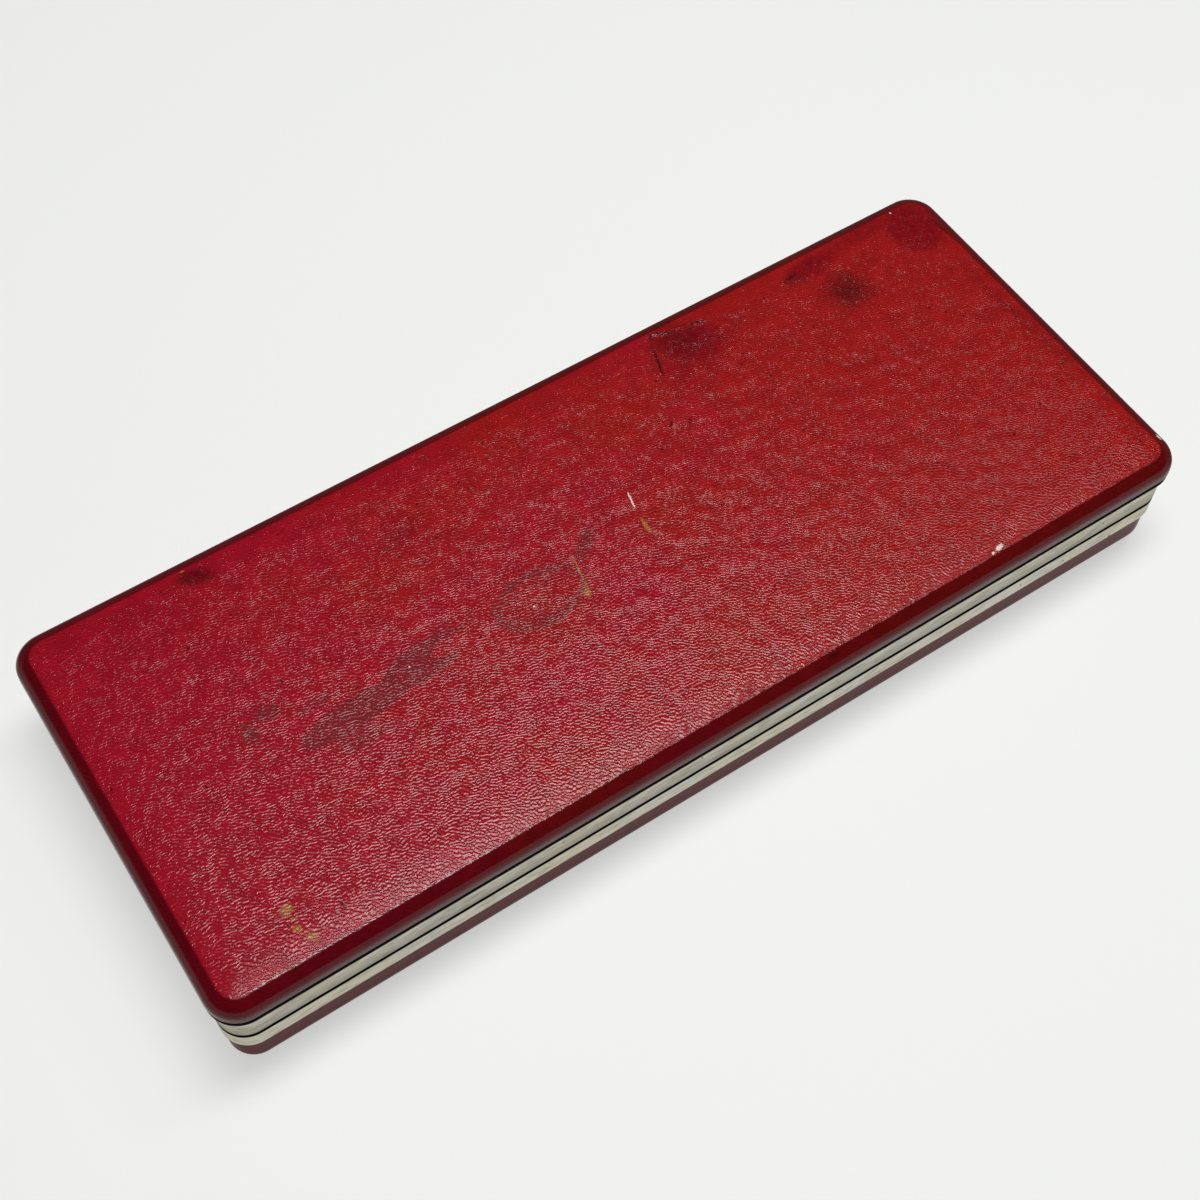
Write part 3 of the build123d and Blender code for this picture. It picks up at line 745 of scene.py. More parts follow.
# %% Wide marks of use, in mm from the middle of the case
def ellipse(x, y, centre_x, centre_y, half_length, half_width, turn, power=2.0):
    """1 at the centre and 0 at the rim of a turned ellipse, as 1 - r ** power."""
    c, s = cos(radians(turn)), sin(radians(turn))
    u = ((x - centre_x) * c + (y - centre_y) * s) / half_length
    v = (-(x - centre_x) * s + (y - centre_y) * c) / half_width
    return np.clip(1 - np.hypot(u, v) ** power, 0, 1)


def add_up(x, y, marks):
    """Strongest of several ellipses, each times its strength; a negative one is taken away."""
    field = np.zeros_like(x)
    for *shape, strength in marks:
        one = ellipse(x, y, *shape)
        field = np.maximum(field, strength * one) if strength > 0 else field + strength * one
    return np.clip(field, 0, 1)


RUBS = [
    (-69.0, -5.0, 15.5, 3.9, 5, 4, 0.9), (-50.5, -1.9, 12.0, 4.9, 7, 4, 0.85),
    (-45.0, -1.6, 6.2, 2.6, 7, 3, -0.8), (-57.0, -3.0, 4.5, 1.8, 4, 2, -0.35),
    (-90.2, 2.5, 2.2, 3.5, 10, 2, 0.9), (-84.8, 5.0, 3.4, 2.3, -12, 2, 0.8),
    (-75.0, 1.6, 6.0, 1.8, 4, 2, 0.4), (-21.5, -2.0, 12.4, 7.8, 2, 4, 0.9),
    (-21.3, -2.0, 10.9, 6.3, 2, 4, -0.82), (-5.3, 4.6, 6.2, 2.2, 41, 2, 0.7),
    (-71.0, -10.8, 9.0, 3.4, -6, 2, 0.35),
]
# The stains at (44, 41) and (41, 34) are painted shade in the dent
STAINS_AND_DENT_SHADE = [
    (-82.1, 43.6, 5.4, 3.0, -22, 2, 0.95), (88.8, 31.8, 8.2, 7.6, 0, 1.2, 1.0),
    (44.0, 41.0, 9.0, 7.5, -20, 1.5, 0.55), (41.0, 34.0, 8.0, 10.0, 10, 1.5, 0.35),
    (-38.0, 28.5, 8.0, 6.0, 0, 1.5, 0.35), (79.0, 41.6, 4.5, 2.4, 8, 2, 0.45),
    (118.6, 2.5, 2.2, 26.0, 4, 2, 0.35), (-118.0, 47.0, 12.0, 4.0, 0, 1.5, 0.25),
]
# The soaked patch at (48.5, 38.5) is painted shade in the dent
SOAKS_AND_DENT_SHADE = [
    (85.5, 42.8, 9.0, 4.0, 6, 3, 0.7), (115.0, 39.4, 8.0, 9.6, -8, 6, 0.75),
    (103.0, 44.8, 12.0, 3.2, 0, 3, 0.5), (48.5, 38.5, 11.0, 8.0, -20, 2, 0.85),
    (-96.0, 38.0, 20.0, 10.0, 0, 1.5, 0.25), (60.0, 40.0, 5.0, 4.0, 0, 2, 0.35),
]

# %% [markdown]
# Scratches and chips are finer than the grid, so for these each point carries a small map
# instead: how far it is from the middle of the nearest mark, counted in that mark's own length
# and width. Such a map changes evenly, so it stays exact between points, and a spherical
# gradient in the material turns it into the mark. A third number lifts the map off the sphere
# where no mark is near.

# %% Small marks: x, y, half length, half width, turn in degrees
# The scars along the dent's creases, at (37, 38), (40, 45.6), (43.5, 44.8) and (51.5, 43.4), are
# painted shade in the creases
SCARS_AND_CREASE_SHADE = [
    (-91.7, 28.0, 0.9, 0.6, 40), (-59.8, 11.9, 0.7, 0.7, 0), (-40.0, 0.5, 0.7, 0.5, 0),
    (29.2, 21.3, 1.8, 0.6, 50), (37.0, 38.0, 10.0, 0.75, 73), (40.0, 45.6, 1.6, 1.2, 60),
    (43.5, 44.8, 4.2, 0.7, -20), (51.5, 43.4, 4.2, 0.6, -5), (79.0, 42.6, 3.6, 0.8, 14),
    (121.0, 35.0, 0.6, 7.5, 4),
    (-29.6, -47.2, 1.6, 0.6, 10), (24.0, -48.2, 2.4, 0.7, 0), (-64.0, 49.0, 2.0, 0.5, 0),
]
SCRATCHES = [
    (8.5, 1.3, 3.2, 0.8, 83), (-12.1, -6.6, 1.9, 1.2, 70), (-10.5, -0.6, 6.6, 0.34, 77),
    (-102.5, -36.2, 2.4, 1.9, 20), (-102.5, -40.8, 1.5, 1.3, 0), (-100.8, -43.7, 1.9, 1.2, -20),
    (-83.9, 46.4, 0.7, 0.5, 0),
]
CHIPS = [
    (71.7, -46.2, 1.7, 0.8, 12), (69.6, -46.6, 0.6, 0.45, 30), (123.3, -42.2, 0.6, 1.4, 0),
    (9.6, 8.6, 3.4, 0.34, 78), (-54.2, -1.6, 0.36, 0.36, 0), (-23.8, -3.2, 0.36, 0.36, 0),
    (113.1, 46.4, 0.4, 0.4, 0),
]
NEAR, LIFT_RUN = 1.2, 0.8


def nearest_mark(x, y, marks):
    """Local place in the nearest mark: along / half length, across / half width, and a lift that is
    0 up to NEAR mm outside the mark and 2 from LIFT_RUN mm further on."""
    marks = np.array(marks)
    turn = np.radians(marks[:, 4])
    dx, dy = x[..., None] - marks[:, 0], y[..., None] - marks[:, 1]
    length = (dx * np.cos(turn) + dy * np.sin(turn)) / marks[:, 2]
    width = (-dx * np.sin(turn) + dy * np.cos(turn)) / marks[:, 3]
    gap = np.maximum((np.abs(length) - 1) * marks[:, 2], (np.abs(width) - 1) * marks[:, 3])
    nearest = np.argmin(gap, -1)[..., None]
    chosen = [np.take_along_axis(part, nearest, -1)[..., 0] for part in (length, width, gap)]
    lift = 2 * np.clip((chosen[2] - NEAR) / LIFT_RUN, 0, 1)
    return np.stack([chosen[0], chosen[1], lift], -1)


# %% The finished skin of the lid
x, y = lid_points[..., 0], lid_points[..., 1]
outer_rows = len(top_insets) + len(roll_out) + len(wall_heights) + 2
is_outside = (np.arange(len(lid_points)) < outer_rows)[:, None]
inset = np.asarray(lid_profile[0])[:, None]
on_top = smooth_step((lid_points[..., 2] - (lid_high.z - 1.6)) / 1.6) * is_outside
lid_points[..., 2] -= (dent(x, y) - unevenness(x, y)) * on_top
# Painted shade: the lowest 0.3 mm of the skin is darkened, like the shadowed gap under it
painted_foot_shade = smooth_step((skin_foot + 0.3 - lid_points[..., 2]) / 0.2)
lid_fields = {
    "cloth": unfolded(lid_points, lid_profile, FINE_STEP, 12),
    "rub": add_up(x, y, RUBS) * is_outside,
    "stain_and_shade": np.maximum(add_up(x, y, STAINS_AND_DENT_SHADE), painted_foot_shade) * is_outside,
    "soak_and_dent_shade": add_up(x, y, SOAKS_AND_DENT_SHADE) * is_outside,
    "scar_and_crease_shade": nearest_mark(x, y, SCARS_AND_CREASE_SHADE),
    "scratch": nearest_mark(x, y, SCRATCHES),
    "chip": nearest_mark(x, y, CHIPS),
    "pulled": smooth_step((roll_start + 0.1 - inset) / 0.7) * np.ones_like(x),
}
leathercloth_lid = build(
    "leathercloth_lid", lid_points,
    grid_faces(*lid_points.shape[:2], loop_columns=True), leathercloth, lid_fields,
)
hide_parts("lid_covering")
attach(leathercloth_lid, "lid")

# %% [markdown]
# ## The base's skin
# The same cloth covers the base: flat underneath, a wide roll, and an upright wall that tucks in
# behind the lower rim. Tables have dulled it, and it is darker towards its foot. Its roll and wall
# are darkened as painted shade, as the lid's roll is. It has no small marks, so their maps are
# lifted off everywhere.

# %% Base skin
base_low, base_high = span("base_covering")
base_inset = (case_size.x - (base_high.x - base_low.x)) / 2
BASE_ROLL = 6.8
BASE_STEP = 1.5
BASE_DARKER_BELOW = 7.0
roll_inset = base_inset + BASE_ROLL
base_profile = joined(
    (np.linspace(case_size.y / 2, roll_inset, 12), np.zeros(12)),
    arc(roll_inset, BASE_ROLL, BASE_ROLL, -84, 0, 12),
    (base_inset, base_high.z - 0.4),
    (base_inset, base_high.z),
    (base_inset + SKIN, base_high.z),
    arc(roll_inset, BASE_ROLL, BASE_ROLL - SKIN, 0, -90, 5),
    (np.linspace(roll_inset + 8, case_size.y / 2, 4), np.full(4, SKIN)),
)
base_points = carried_profile(*base_profile, step=BASE_STEP, arc_steps=12)
base_inset_now = np.asarray(base_profile[0])[:, None]
lifted = np.zeros_like(base_points) + [0, 0, 2]
leathercloth_base = build(
    "leathercloth_base", base_points,
    grid_faces(*base_points.shape[:2], loop_columns=True), dull_leathercloth,
    {
        # darker towards the foot, from BASE_DARKER_BELOW mm down
        "stain_and_shade": smooth_step((BASE_DARKER_BELOW - base_points[..., 2]) / BASE_DARKER_BELOW),
        "cloth": unfolded(base_points, base_profile, BASE_STEP, 12, shift=400.0),
        # the roll and wall take the lid roll's painted shade
        "pulled": smooth_step((roll_inset - base_inset_now) / 2.0) * np.ones(base_points.shape[:2]),
        "scar_and_crease_shade": lifted, "scratch": lifted, "chip": lifted,
    },
)
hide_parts("base_covering")
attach(leathercloth_base, "base")

# %% [markdown]
# ## Black lacquered lid shell
# The lid is pressed from thin steel and dipped in black lacquer. Only its rolled rim shows, as
# the black line under the red skin. Dust varies its roughness, and its near-black colour with almost
# no shine keeps the line as black as the shadowed gap it stands for: painted shade.


# %% Black lacquer and the lid shell
def make_black_lacquer():
    material, tree, shader = new_material("black_dipping_lacquer")
    position = add(tree, "TexCoord").outputs["Object"]
    dust = add(
        tree, "TexNoise", None,
        {"Vector": position, "Scale": 1 / (1.5 * MM), "Detail": 4.0},
    ).outputs["Fac"]
    roughness = add(
        tree, "MapRange", None, {"Value": dust, "To Min": 0.5, "To Max": 0.7}
    ).outputs["Result"]
    colour = add(
        tree, "Mix", {"data_type": "RGBA"},
        {0: dust, MIX_A: srgb("050303"), MIX_B: srgb("100b0b")},
    ).outputs[MIX_RESULT]
    feed(tree, shader, {
        "Base Color": colour, "Roughness": roughness, "Specular IOR Level": 0.01,
    })
    return material


# A line with no shine of its own, which parts the red from the ivory and stands for the shadowed gap
# there: painted shade
black_lacquer = make_black_lacquer()
SHEET = 0.45
BEAD_RADIUS = 0.4
shell_low, shell_high = span("lid_shell")
bead_inset = (case_size.x - (shell_high.x - shell_low.x)) / 2
shell_inset = SKIN + 0.1
bead_top = skin_foot - 0.1
shell_crown = CROWN_RADIUS - shell_inset
crown_centre = shell_high.z - shell_crown
shell_profile = joined(
    (np.linspace(case_size.y / 2, shell_inset + shell_crown, 4), np.full(4, shell_high.z)),
    arc(shell_inset + shell_crown, crown_centre, shell_crown, 78, 0, 6),
    (shell_inset, bead_top),
    (bead_inset + 0.15, bead_top),
    arc(bead_inset + BEAD_RADIUS, bead_top - BEAD_RADIUS, BEAD_RADIUS, 60, 0, 3),
    arc(bead_inset + BEAD_RADIUS, shell_low.z + BEAD_RADIUS, BEAD_RADIUS, 0, -90, 5),
    (shell_inset + SHEET, shell_low.z),
    arc(shell_inset + shell_crown, crown_centre, shell_crown - SHEET, 0, 90, 5),
    (np.linspace(shell_inset + shell_crown + 8, case_size.y / 2, 3), np.full(3, shell_high.z - SHEET)),
)
shell_points = carried_profile(*shell_profile, step=3.0, arc_steps=12)
lacquered_shell = build(
    "lacquered_lid_shell", shell_points,
    grid_faces(*shell_points.shape[:2], loop_columns=True), black_lacquer,
)
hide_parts("lid_shell")
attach(lacquered_shell, "lid")

# %% [markdown]
# ## Ivory enamelled rims
# Two rims of rolled steel strip meet at the parting line. Their stove enamel has yellowed, is
# greyed by handling, and has small nicks that show dark metal. The black of the parting line and
# of the strip just under the lid's skin is painted shade. The rims are closed sections carried
# round the outline, and the notches for the hinges are cut with boxes, as a press would.


# %% Ivory enamel
def make_ivory_enamel():
    material, tree, shader = new_material("ivory_stove_enamel")
    position = add(tree, "TexCoord").outputs["Object"]
    cloud = add(
        tree, "TexNoise", None,
        {"Vector": position, "Scale": 1 / (14 * MM), "Detail": 4.0, "Roughness": 0.6},
    ).outputs["Fac"]
    colour = add(
        tree, "Mix", {"data_type": "RGBA"},
        {
            0: add(
                tree, "MapRange", None, {"Value": cloud, "From Min": 0.35, "From Max": 0.65}
            ).outputs["Result"],
            MIX_A: srgb("f3f0e2"), MIX_B: srgb("f1e6c3"),
        },
    ).outputs[MIX_RESULT]
    streaks = add(
        tree, "TexNoise", None,
        {
            "Vector": add(
                tree, "Mapping", None, {"Vector": position, "Scale": (0.3, 0.3, 1.6)}
            ).outputs[0],
            "Scale": 1 / (1.6 * MM), "Detail": 5.0, "Roughness": 0.7,
        },
    ).outputs["Fac"]
    grime = add(
        tree, "MapRange", None,
        {"Value": streaks, "From Min": 0.46, "From Max": 0.72, "To Max": 0.8},
    ).outputs["Result"]
    facing = add(tree, "NewGeometry").outputs["True Normal"]
    level = add(tree, "SeparateXYZ", None, {0: facing}).outputs["Z"]
    level = add(tree, "Math", {"operation": "ABSOLUTE"}, {0: level}).outputs[0]
    darkening_factor = add(
        tree, "MapRange", None, {"Value": level, "To Min": 1.0, "To Max": 0.25}
    ).outputs["Result"]
    grime = add(tree, "Math", {"operation": "MULTIPLY"}, {0: grime, 1: darkening_factor}).outputs[0]
    colour = add(
        tree, "Mix", {"data_type": "RGBA"},
        {0: grime, MIX_A: colour, MIX_B: srgb("9a937a")},
    ).outputs[MIX_RESULT]
    cell = add(
        tree, "TexVoronoi", None, {"Vector": position, "Scale": 1 / (4.5 * MM)}
    )
    size = add(
        tree, "Math", {"operation": "MULTIPLY"}, {0: cell.outputs["Color"], 1: 0.17}
    ).outputs[0]
    ragged = add(
        tree, "Math", {"operation": "MULTIPLY_ADD"},
        {0: streaks, 1: 0.16, 2: cell.outputs["Distance"]},
    ).outputs[0]
    nicks = add(
        tree, "Math", {"operation": "LESS_THAN"}, {0: ragged, 1: size}
    ).outputs[0]
    colour = add(
        tree, "Mix", {"data_type": "RGBA"},
        {0: nicks, MIX_A: colour, MIX_B: srgb("3a362f")},
    ).outputs[MIX_RESULT]
    # Painted shade: a near-black diffuse stands for the shadow in the gaps at the parting line and
    # under the lid's skin
    gap_shade_share = add(tree, "Attribute", {"attribute_name": "gap_shade"}).outputs["Fac"]
    roughness = add(
        tree, "MapRange", None, {"Value": streaks, "To Min": 0.25, "To Max": 0.5}
    ).outputs["Result"]
    bump = add(
        tree, "Bump", None, {"Strength": 0.5, "Distance": 0.02 * MM, "Height": streaks}
    ).outputs["Normal"]
    feed(tree, shader, {
        "Base Color": colour, "Roughness": roughness, "Normal": bump, "IOR": 1.52,
    })
    gap_shade_black = add(tree, "BsdfDiffuse", None, {"Color": srgb("0b0807")}).outputs[0]
    gap_shaded = add(
        tree, "MixShader", None, {0: gap_shade_share, 1: shader.outputs["BSDF"], 2: gap_shade_black}
    ).outputs[0]
    tree.links.new(gap_shaded, tree.nodes["Material Output"].inputs["Surface"])
    return material


# Warm, slightly glossy white that is greyed where hands hold it, with black lines of painted shade at
# the parting line and under the lid's skin
ivory_enamel = make_ivory_enamel()


# %% Rims with their hinge notches
RIM_EDGE = 0.4
FLANGE = 4.8
HINGE_X = (-65.0, 65.0)
NOTCH_HALF_WIDTH = 9.78
NOTCH_HALF_HEIGHT = 1.55
HINGE_Z = frame["joints"][0]["pos_m"][2] / MM


def notch_cutter():
    """Two boxes through the back of the rims, one at each hinge, as one closed mesh."""
    corners = np.array([(a, b, c) for a in (-1, 1) for b in (-1, 1) for c in (-1, 1)], float)
    half = np.array([NOTCH_HALF_WIDTH, 5.0, NOTCH_HALF_HEIGHT])
    boxes = [corners * half + np.array([x, case_size.y / 2, HINGE_Z]) for x in HINGE_X]
    one = np.array([(0, 1, 3, 2), (4, 6, 7, 5), (0, 4, 5, 1), (2, 3, 7, 6), (0, 2, 6, 4), (1, 5, 7, 3)])
    faces = np.concatenate([one, one + 8])
    return build("notch_cutter", np.concatenate(boxes), faces, ivory_enamel, smooth=False)


def cut_with(piece, cutter):
    """Subtracts the cutter from the piece and keeps the result as its mesh."""
    modifier = piece.modifiers.new("notches", "BOOLEAN")
    modifier.operation = "DIFFERENCE"
    modifier.solver = "EXACT"
    modifier.object = cutter
    uncut, cut = piece.data, applied_mesh(piece)
    piece.modifiers.clear()
    piece.data = cut
    bpy.data.meshes.remove(uncut)


def rim(name, section, gap_shading, node, body):
    """A closed section carried round the outline, notched, with its hard edges kept hard. gap_shading
    says for each point of the section how much painted shade it gets, from 0 to 1: the dark of the
    gaps at the parting line and under the lid's skin."""
    points = carried_profile(*section, step=2.0, arc_steps=12)
    piece = build(
        name, points,
        grid_faces(*points.shape[:2], loop_rows=True, loop_columns=True), ivory_enamel,
        {"gap_shade": np.asarray(gap_shading, float)[:, None] * np.ones(points.shape[:2])},
    )
    cut_with(piece, cutter)
    piece.data.set_sharp_from_angle(angle=radians(35))
    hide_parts(node)
    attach(piece, body)
    return piece


cutter = notch_cutter()
lid_rim_low, lid_rim_high = span("lid_frame")
base_rim_low, base_rim_high = span("base_frame")
rim_inset = (case_size.x - (lid_rim_high.x - lid_rim_low.x)) / 2
rim_top = shell_low.z - 0.1
upstand = SKIN + 0.1 + SHEET + 0.1
GAP_SHADE_REACH = 1.2
lid_section = joined(
    (rim_inset, rim_top),
    (rim_inset, rim_top - 1.5),
    (rim_inset, rim_top - 1.8),
    arc(rim_inset + RIM_EDGE, lid_rim_low.z + RIM_EDGE, RIM_EDGE, 0, -90, 5),
    (rim_inset + GAP_SHADE_REACH, lid_rim_low.z),
    (rim_inset + 2 * GAP_SHADE_REACH, lid_rim_low.z),
    (rim_inset + FLANGE, lid_rim_low.z),
    (rim_inset + FLANGE, lid_rim_low.z + SHEET),
    (rim_inset + SHEET, lid_rim_low.z + SHEET),
    (rim_inset + SHEET, rim_top - SHEET),
    (upstand + SHEET, rim_top - SHEET),
    (upstand + SHEET, lid_rim_high.z),
    (upstand, lid_rim_high.z),
    (upstand, rim_top),
)
leg = base_inset + SKIN + 0.1 + SHEET + 0.1
LEG_DEPTH = 3.0
base_section = joined(
    (rim_inset, base_rim_low.z),
    (rim_inset + SHEET, base_rim_low.z),
    (rim_inset + SHEET, base_rim_high.z - SHEET),
    (leg, base_rim_high.z - SHEET),
    (leg, base_rim_high.z - SHEET - LEG_DEPTH),
    (leg + SHEET, base_rim_high.z - SHEET - LEG_DEPTH),
    (leg + SHEET, base_rim_high.z - SHEET),
    (rim_inset + FLANGE, base_rim_high.z - SHEET),
    (rim_inset + FLANGE, base_rim_high.z),
    (rim_inset + 2 * GAP_SHADE_REACH, base_rim_high.z),
    (rim_inset + GAP_SHADE_REACH, base_rim_high.z),
    arc(rim_inset + RIM_EDGE, base_rim_high.z - RIM_EDGE, RIM_EDGE, 90, 0, 5),
    (rim_inset, base_rim_high.z - RIM_EDGE - 0.3),
)
# Painted shade along each section: the lid rim's top under the skin, and both rims' edges at the
# parting line
lid_gap_shading = [1, 1, 0] + [0.4, 1, 1, 1, 1, 1] + [1, 0] + [0] * 8
base_gap_shading = [0] * 9 + [0, 1] + [1, 1, 1, 1, 1, 1] + [0]
print("rim sections", len(lid_section[0]), len(base_section[0]))
rim("enamelled_lid_rim", lid_section, lid_gap_shading, "lid_frame", "lid")
rim("enamelled_base_rim", base_section, base_gap_shading, "base_frame", "base")
bpy.data.objects.remove(cutter)

# %% [markdown]
# ## Flocked tray
# The tray is formed from one sheet over a mould, so every rim is rounded and every wall leans
# out a little. It is worked out as a height field: for each point of a grid, how far it lies
# inside each pocket's outline, and the deepest pocket wins. Flock is short standing fibre, so it
# is matt, darker in the pockets and faintly lighter at glancing angles.


# %% Flock
def make_flock():
    material, tree, shader = new_material("rayon_flock")
    position = add(tree, "TexCoord").outputs["Object"]
    fibres = add(
        tree, "TexNoise", None,
        {"Vector": position, "Scale": 1 / (0.5 * MM), "Detail": 3.0, "Roughness": 0.7},
    ).outputs["Fac"]
    nap = add(
        tree, "TexNoise", None,
        {"Vector": position, "Scale": 1 / (18 * MM), "Detail": 3.0, "Distortion": 0.6},
    ).outputs["Fac"]
    colour = add(
        tree, "Mix", {"data_type": "RGBA"},
        {0: nap, MIX_A: srgb("330710"), MIX_B: srgb("5a1220")},
    ).outputs[MIX_RESULT]
    lift = add(
        tree, "MapRange", None, {"Value": fibres, "To Min": 0.55, "To Max": 1.45}
    ).outputs["Result"]
    colour = add(
        tree, "VectorMath", {"operation": "SCALE"}, {0: colour, "Scale": lift}
    ).outputs[0]
    bump = add(
        tree, "Bump", None, {"Strength": 0.6, "Distance": 0.15 * MM, "Height": fibres}
    ).outputs["Normal"]
    feed(tree, shader, {
        "Base Color": colour, "Normal": bump, "Roughness": 0.95, "Specular IOR Level": 0.2,
        "Sheen Weight": 0.5, "Sheen Roughness": 0.4, "Sheen Tint": srgb("b0505f"),
    })
    return material


# A deep, dry dark red with no highlights, paler where the fibres lean away
flock = make_flock()

# %% Shape of the tray
tray_low, tray_high = span("fitted_tray")
BEAM_X, BEAM_Y, BEAM_HALF_WIDTH = (-115.0, 115.0), 8.0, 9.0
JAW_X, JAW_ROOT_HALF, JAW_TIP_HALF = -98.5, 16.5, 7.5
JAW_REACH = (-41.0, 38.0)
SLIDER_HALF = (32.0, 14.5)
DIAL_X, DIAL_RADIUS = -50.0, 21.0
WELL_X, WELL_HALF = 52.0, (12.0, 23.0)
POCKET_DEPTHS = {"beam": 6.0, "jaws": 7.5, "slider": 9.5, "dial": 12.5, "well": 9.5}
POCKET_CORNER = 3.0
POCKET_RIM = 1.1
WALL_RUN = 1.5


def inside_box(x, y, centre, half, corner):
    """How far a point lies inside a box with rounded corners, negative outside."""
    qx = np.abs(x - centre[0]) - (half[0] - corner)
    qy = np.abs(y - centre[1]) - (half[1] - corner)
    outside = np.hypot(np.maximum(qx, 0), np.maximum(qy, 0))
    return corner - outside - np.minimum(np.maximum(qx, qy), 0)


def inside_jaws(x, y):
    """How far a point lies inside the two tapering jaws: each side is a slanted line."""
    low, high = BEAM_Y - BEAM_HALF_WIDTH, BEAM_Y + BEAM_HALF_WIDTH
    reach = np.where(y < BEAM_Y, (low - y) / (low - JAW_REACH[0]), (y - high) / (JAW_REACH[1] - high))
    half = JAW_ROOT_HALF + (JAW_TIP_HALF - JAW_ROOT_HALF) * np.clip(reach, 0, 1)
    lean = np.where(y < BEAM_Y, low - JAW_REACH[0], JAW_REACH[1] - high)
    slope = np.cos(np.arctan((JAW_ROOT_HALF - JAW_TIP_HALF) / lean))
    across = (half - np.abs(x - JAW_X)) * slope
    ends = np.minimum(y - JAW_REACH[0], JAW_REACH[1] - y)
    corner = POCKET_CORNER
    near = np.hypot(np.maximum(corner - across, 0), np.maximum(corner - ends, 0))
    return np.where((across < corner) & (ends < corner), corner - near, np.minimum(across, ends))


def pocket(inside, depth):
    """Depth profile of one pocket: 0 outside, a rounded rim, a leaning wall and a rounded floor."""
    return depth * smooth_step((inside + POCKET_RIM * 0.4) / (POCKET_RIM + WALL_RUN))


GRID_STEP = 0.7
tray_half = np.array([tray_high.x, tray_high.y])
tray_corner = CORNER_RADIUS - (case_size.x / 2 - tray_high.x)
columns = int(2 * tray_half[0] / GRID_STEP)
rows = int(2 * tray_half[1] / GRID_STEP)
u, v = np.meshgrid(np.linspace(-1, 1, columns), np.linspace(-1, 1, rows))
x, y = u * tray_half[0], v * tray_half[1]
inside_pockets = {
    "beam": inside_box(x, y, (0, BEAM_Y), (BEAM_X[1], BEAM_HALF_WIDTH), POCKET_CORNER),
    "jaws": inside_jaws(x, y),
    "slider": inside_box(x, y, (DIAL_X, BEAM_Y), SLIDER_HALF, POCKET_CORNER),
    "dial": DIAL_RADIUS - np.hypot(x - DIAL_X, y - BEAM_Y),
    "well": inside_box(x, y, (WELL_X, BEAM_Y), WELL_HALF, WELL_HALF[0]),
}
depth = np.maximum.reduce([
    pocket(inside, POCKET_DEPTHS[name]) for name, inside in inside_pockets.items()
])
edge = inside_box(x, y, (0, 0), tray_half, tray_corner)
TRAY_ROLL = 1.2
roll_depth = TRAY_ROLL - np.sqrt(np.maximum(TRAY_ROLL**2 - np.maximum(TRAY_ROLL - edge, 0) ** 2, 0))
tray_top = np.stack([x, y, tray_high.z - depth - np.minimum(roll_depth, TRAY_ROLL)], -1)
print("tray grid", tray_top.shape, "deepest", round(float(depth.max()), 2))

# %% [markdown]
# The grid's corners would stick out past the tray's rounded corners, so points near a corner are
# pulled in along the outline's radius. A skirt then hangs from the border down to the base.

# %% Tray with its skirt
core = tray_half - tray_corner
reach = np.stack([np.maximum(np.abs(x) - core[0], 0), np.maximum(np.abs(y) - core[1], 0)], -1)
square = np.max(reach, -1)
length = np.maximum(np.hypot(reach[..., 0], reach[..., 1]), 1e-9)
pull = np.where(length > 1e-6, square / length, 1.0)
tray_top[..., 0] = np.sign(x) * (np.minimum(np.abs(x), core[0]) + reach[..., 0] * pull)
tray_top[..., 1] = np.sign(y) * (np.minimum(np.abs(y), core[1]) + reach[..., 1] * pull)
border = np.concatenate([
    tray_top[0, :-1], tray_top[:-1, -1], tray_top[-1, :0:-1], tray_top[:0:-1, 0],
])
skirt_bottom = border * [1, 1, 0] + [0, 0, tray_low.z]
skirt_rows = np.stack([border, (border + skirt_bottom) / 2, skirt_bottom, skirt_bottom * [0, 0, 1]])
top_faces = grid_faces(rows, columns)
skirt_faces = grid_faces(4, len(border), loop_columns=True) + tray_top[..., 0].size
all_points = np.concatenate([tray_top.reshape(-1, 3), skirt_rows.reshape(-1, 3)])
flocked_tray = build("flocked_tray", all_points, np.concatenate([top_faces, skirt_faces]), flock)
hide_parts("fitted_tray")
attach(flocked_tray, "base")

# %% [markdown]
# ## Satin lining and its pad
# The lid is lined with ivory satin: a flat strip round the walls, and a pad of foam with satin
# drawn over it and glued at its edge. Satin is a weave with long floats, so it has a soft, lengthwise
# sheen. The pad is a grid whose face swells towards the inside of the case and whose edge
# is drawn into small puckers.


# %% Satin
def make_satin():
    material, tree, shader = new_material("rayon_satin")
    position = add(tree, "TexCoord").outputs["Object"]
    floats = add(
        tree, "TexNoise", None,
        {
            "Vector": add(
                tree, "Mapping", None, {"Vector": position, "Scale": (0.08, 1.0, 1.0)}
            ).outputs[0],
            "Scale": 1 / (0.35 * MM), "Detail": 2.0,
        },
    ).outputs["Fac"]
    age = add(
        tree, "TexNoise", None,
        {"Vector": position, "Scale": 1 / (30 * MM), "Detail": 4.0, "Roughness": 0.6},
    ).outputs["Fac"]
    colour = add(
        tree, "Mix", {"data_type": "RGBA"},
        {0: age, MIX_A: srgb("e2d6b6"), MIX_B: srgb("cdbb92")},
    ).outputs[MIX_RESULT]
    lift = add(
        tree, "MapRange", None, {"Value": floats, "To Min": 0.88, "To Max": 1.08}
    ).outputs["Result"]
    colour = add(
        tree, "VectorMath", {"operation": "SCALE"}, {0: colour, "Scale": lift}
    ).outputs[0]
    bump = add(
        tree, "Bump", None, {"Strength": 0.35, "Distance": 0.04 * MM, "Height": floats}
    ).outputs["Normal"]
    feed(tree, shader, {
        "Base Color": colour, "Normal": bump, "Roughness": 0.42, "Anisotropic": 0.6,
        "Sheen Weight": 0.25,
    })
    return material


# A pale gold with one long, soft highlight across the weave
satin = make_satin()

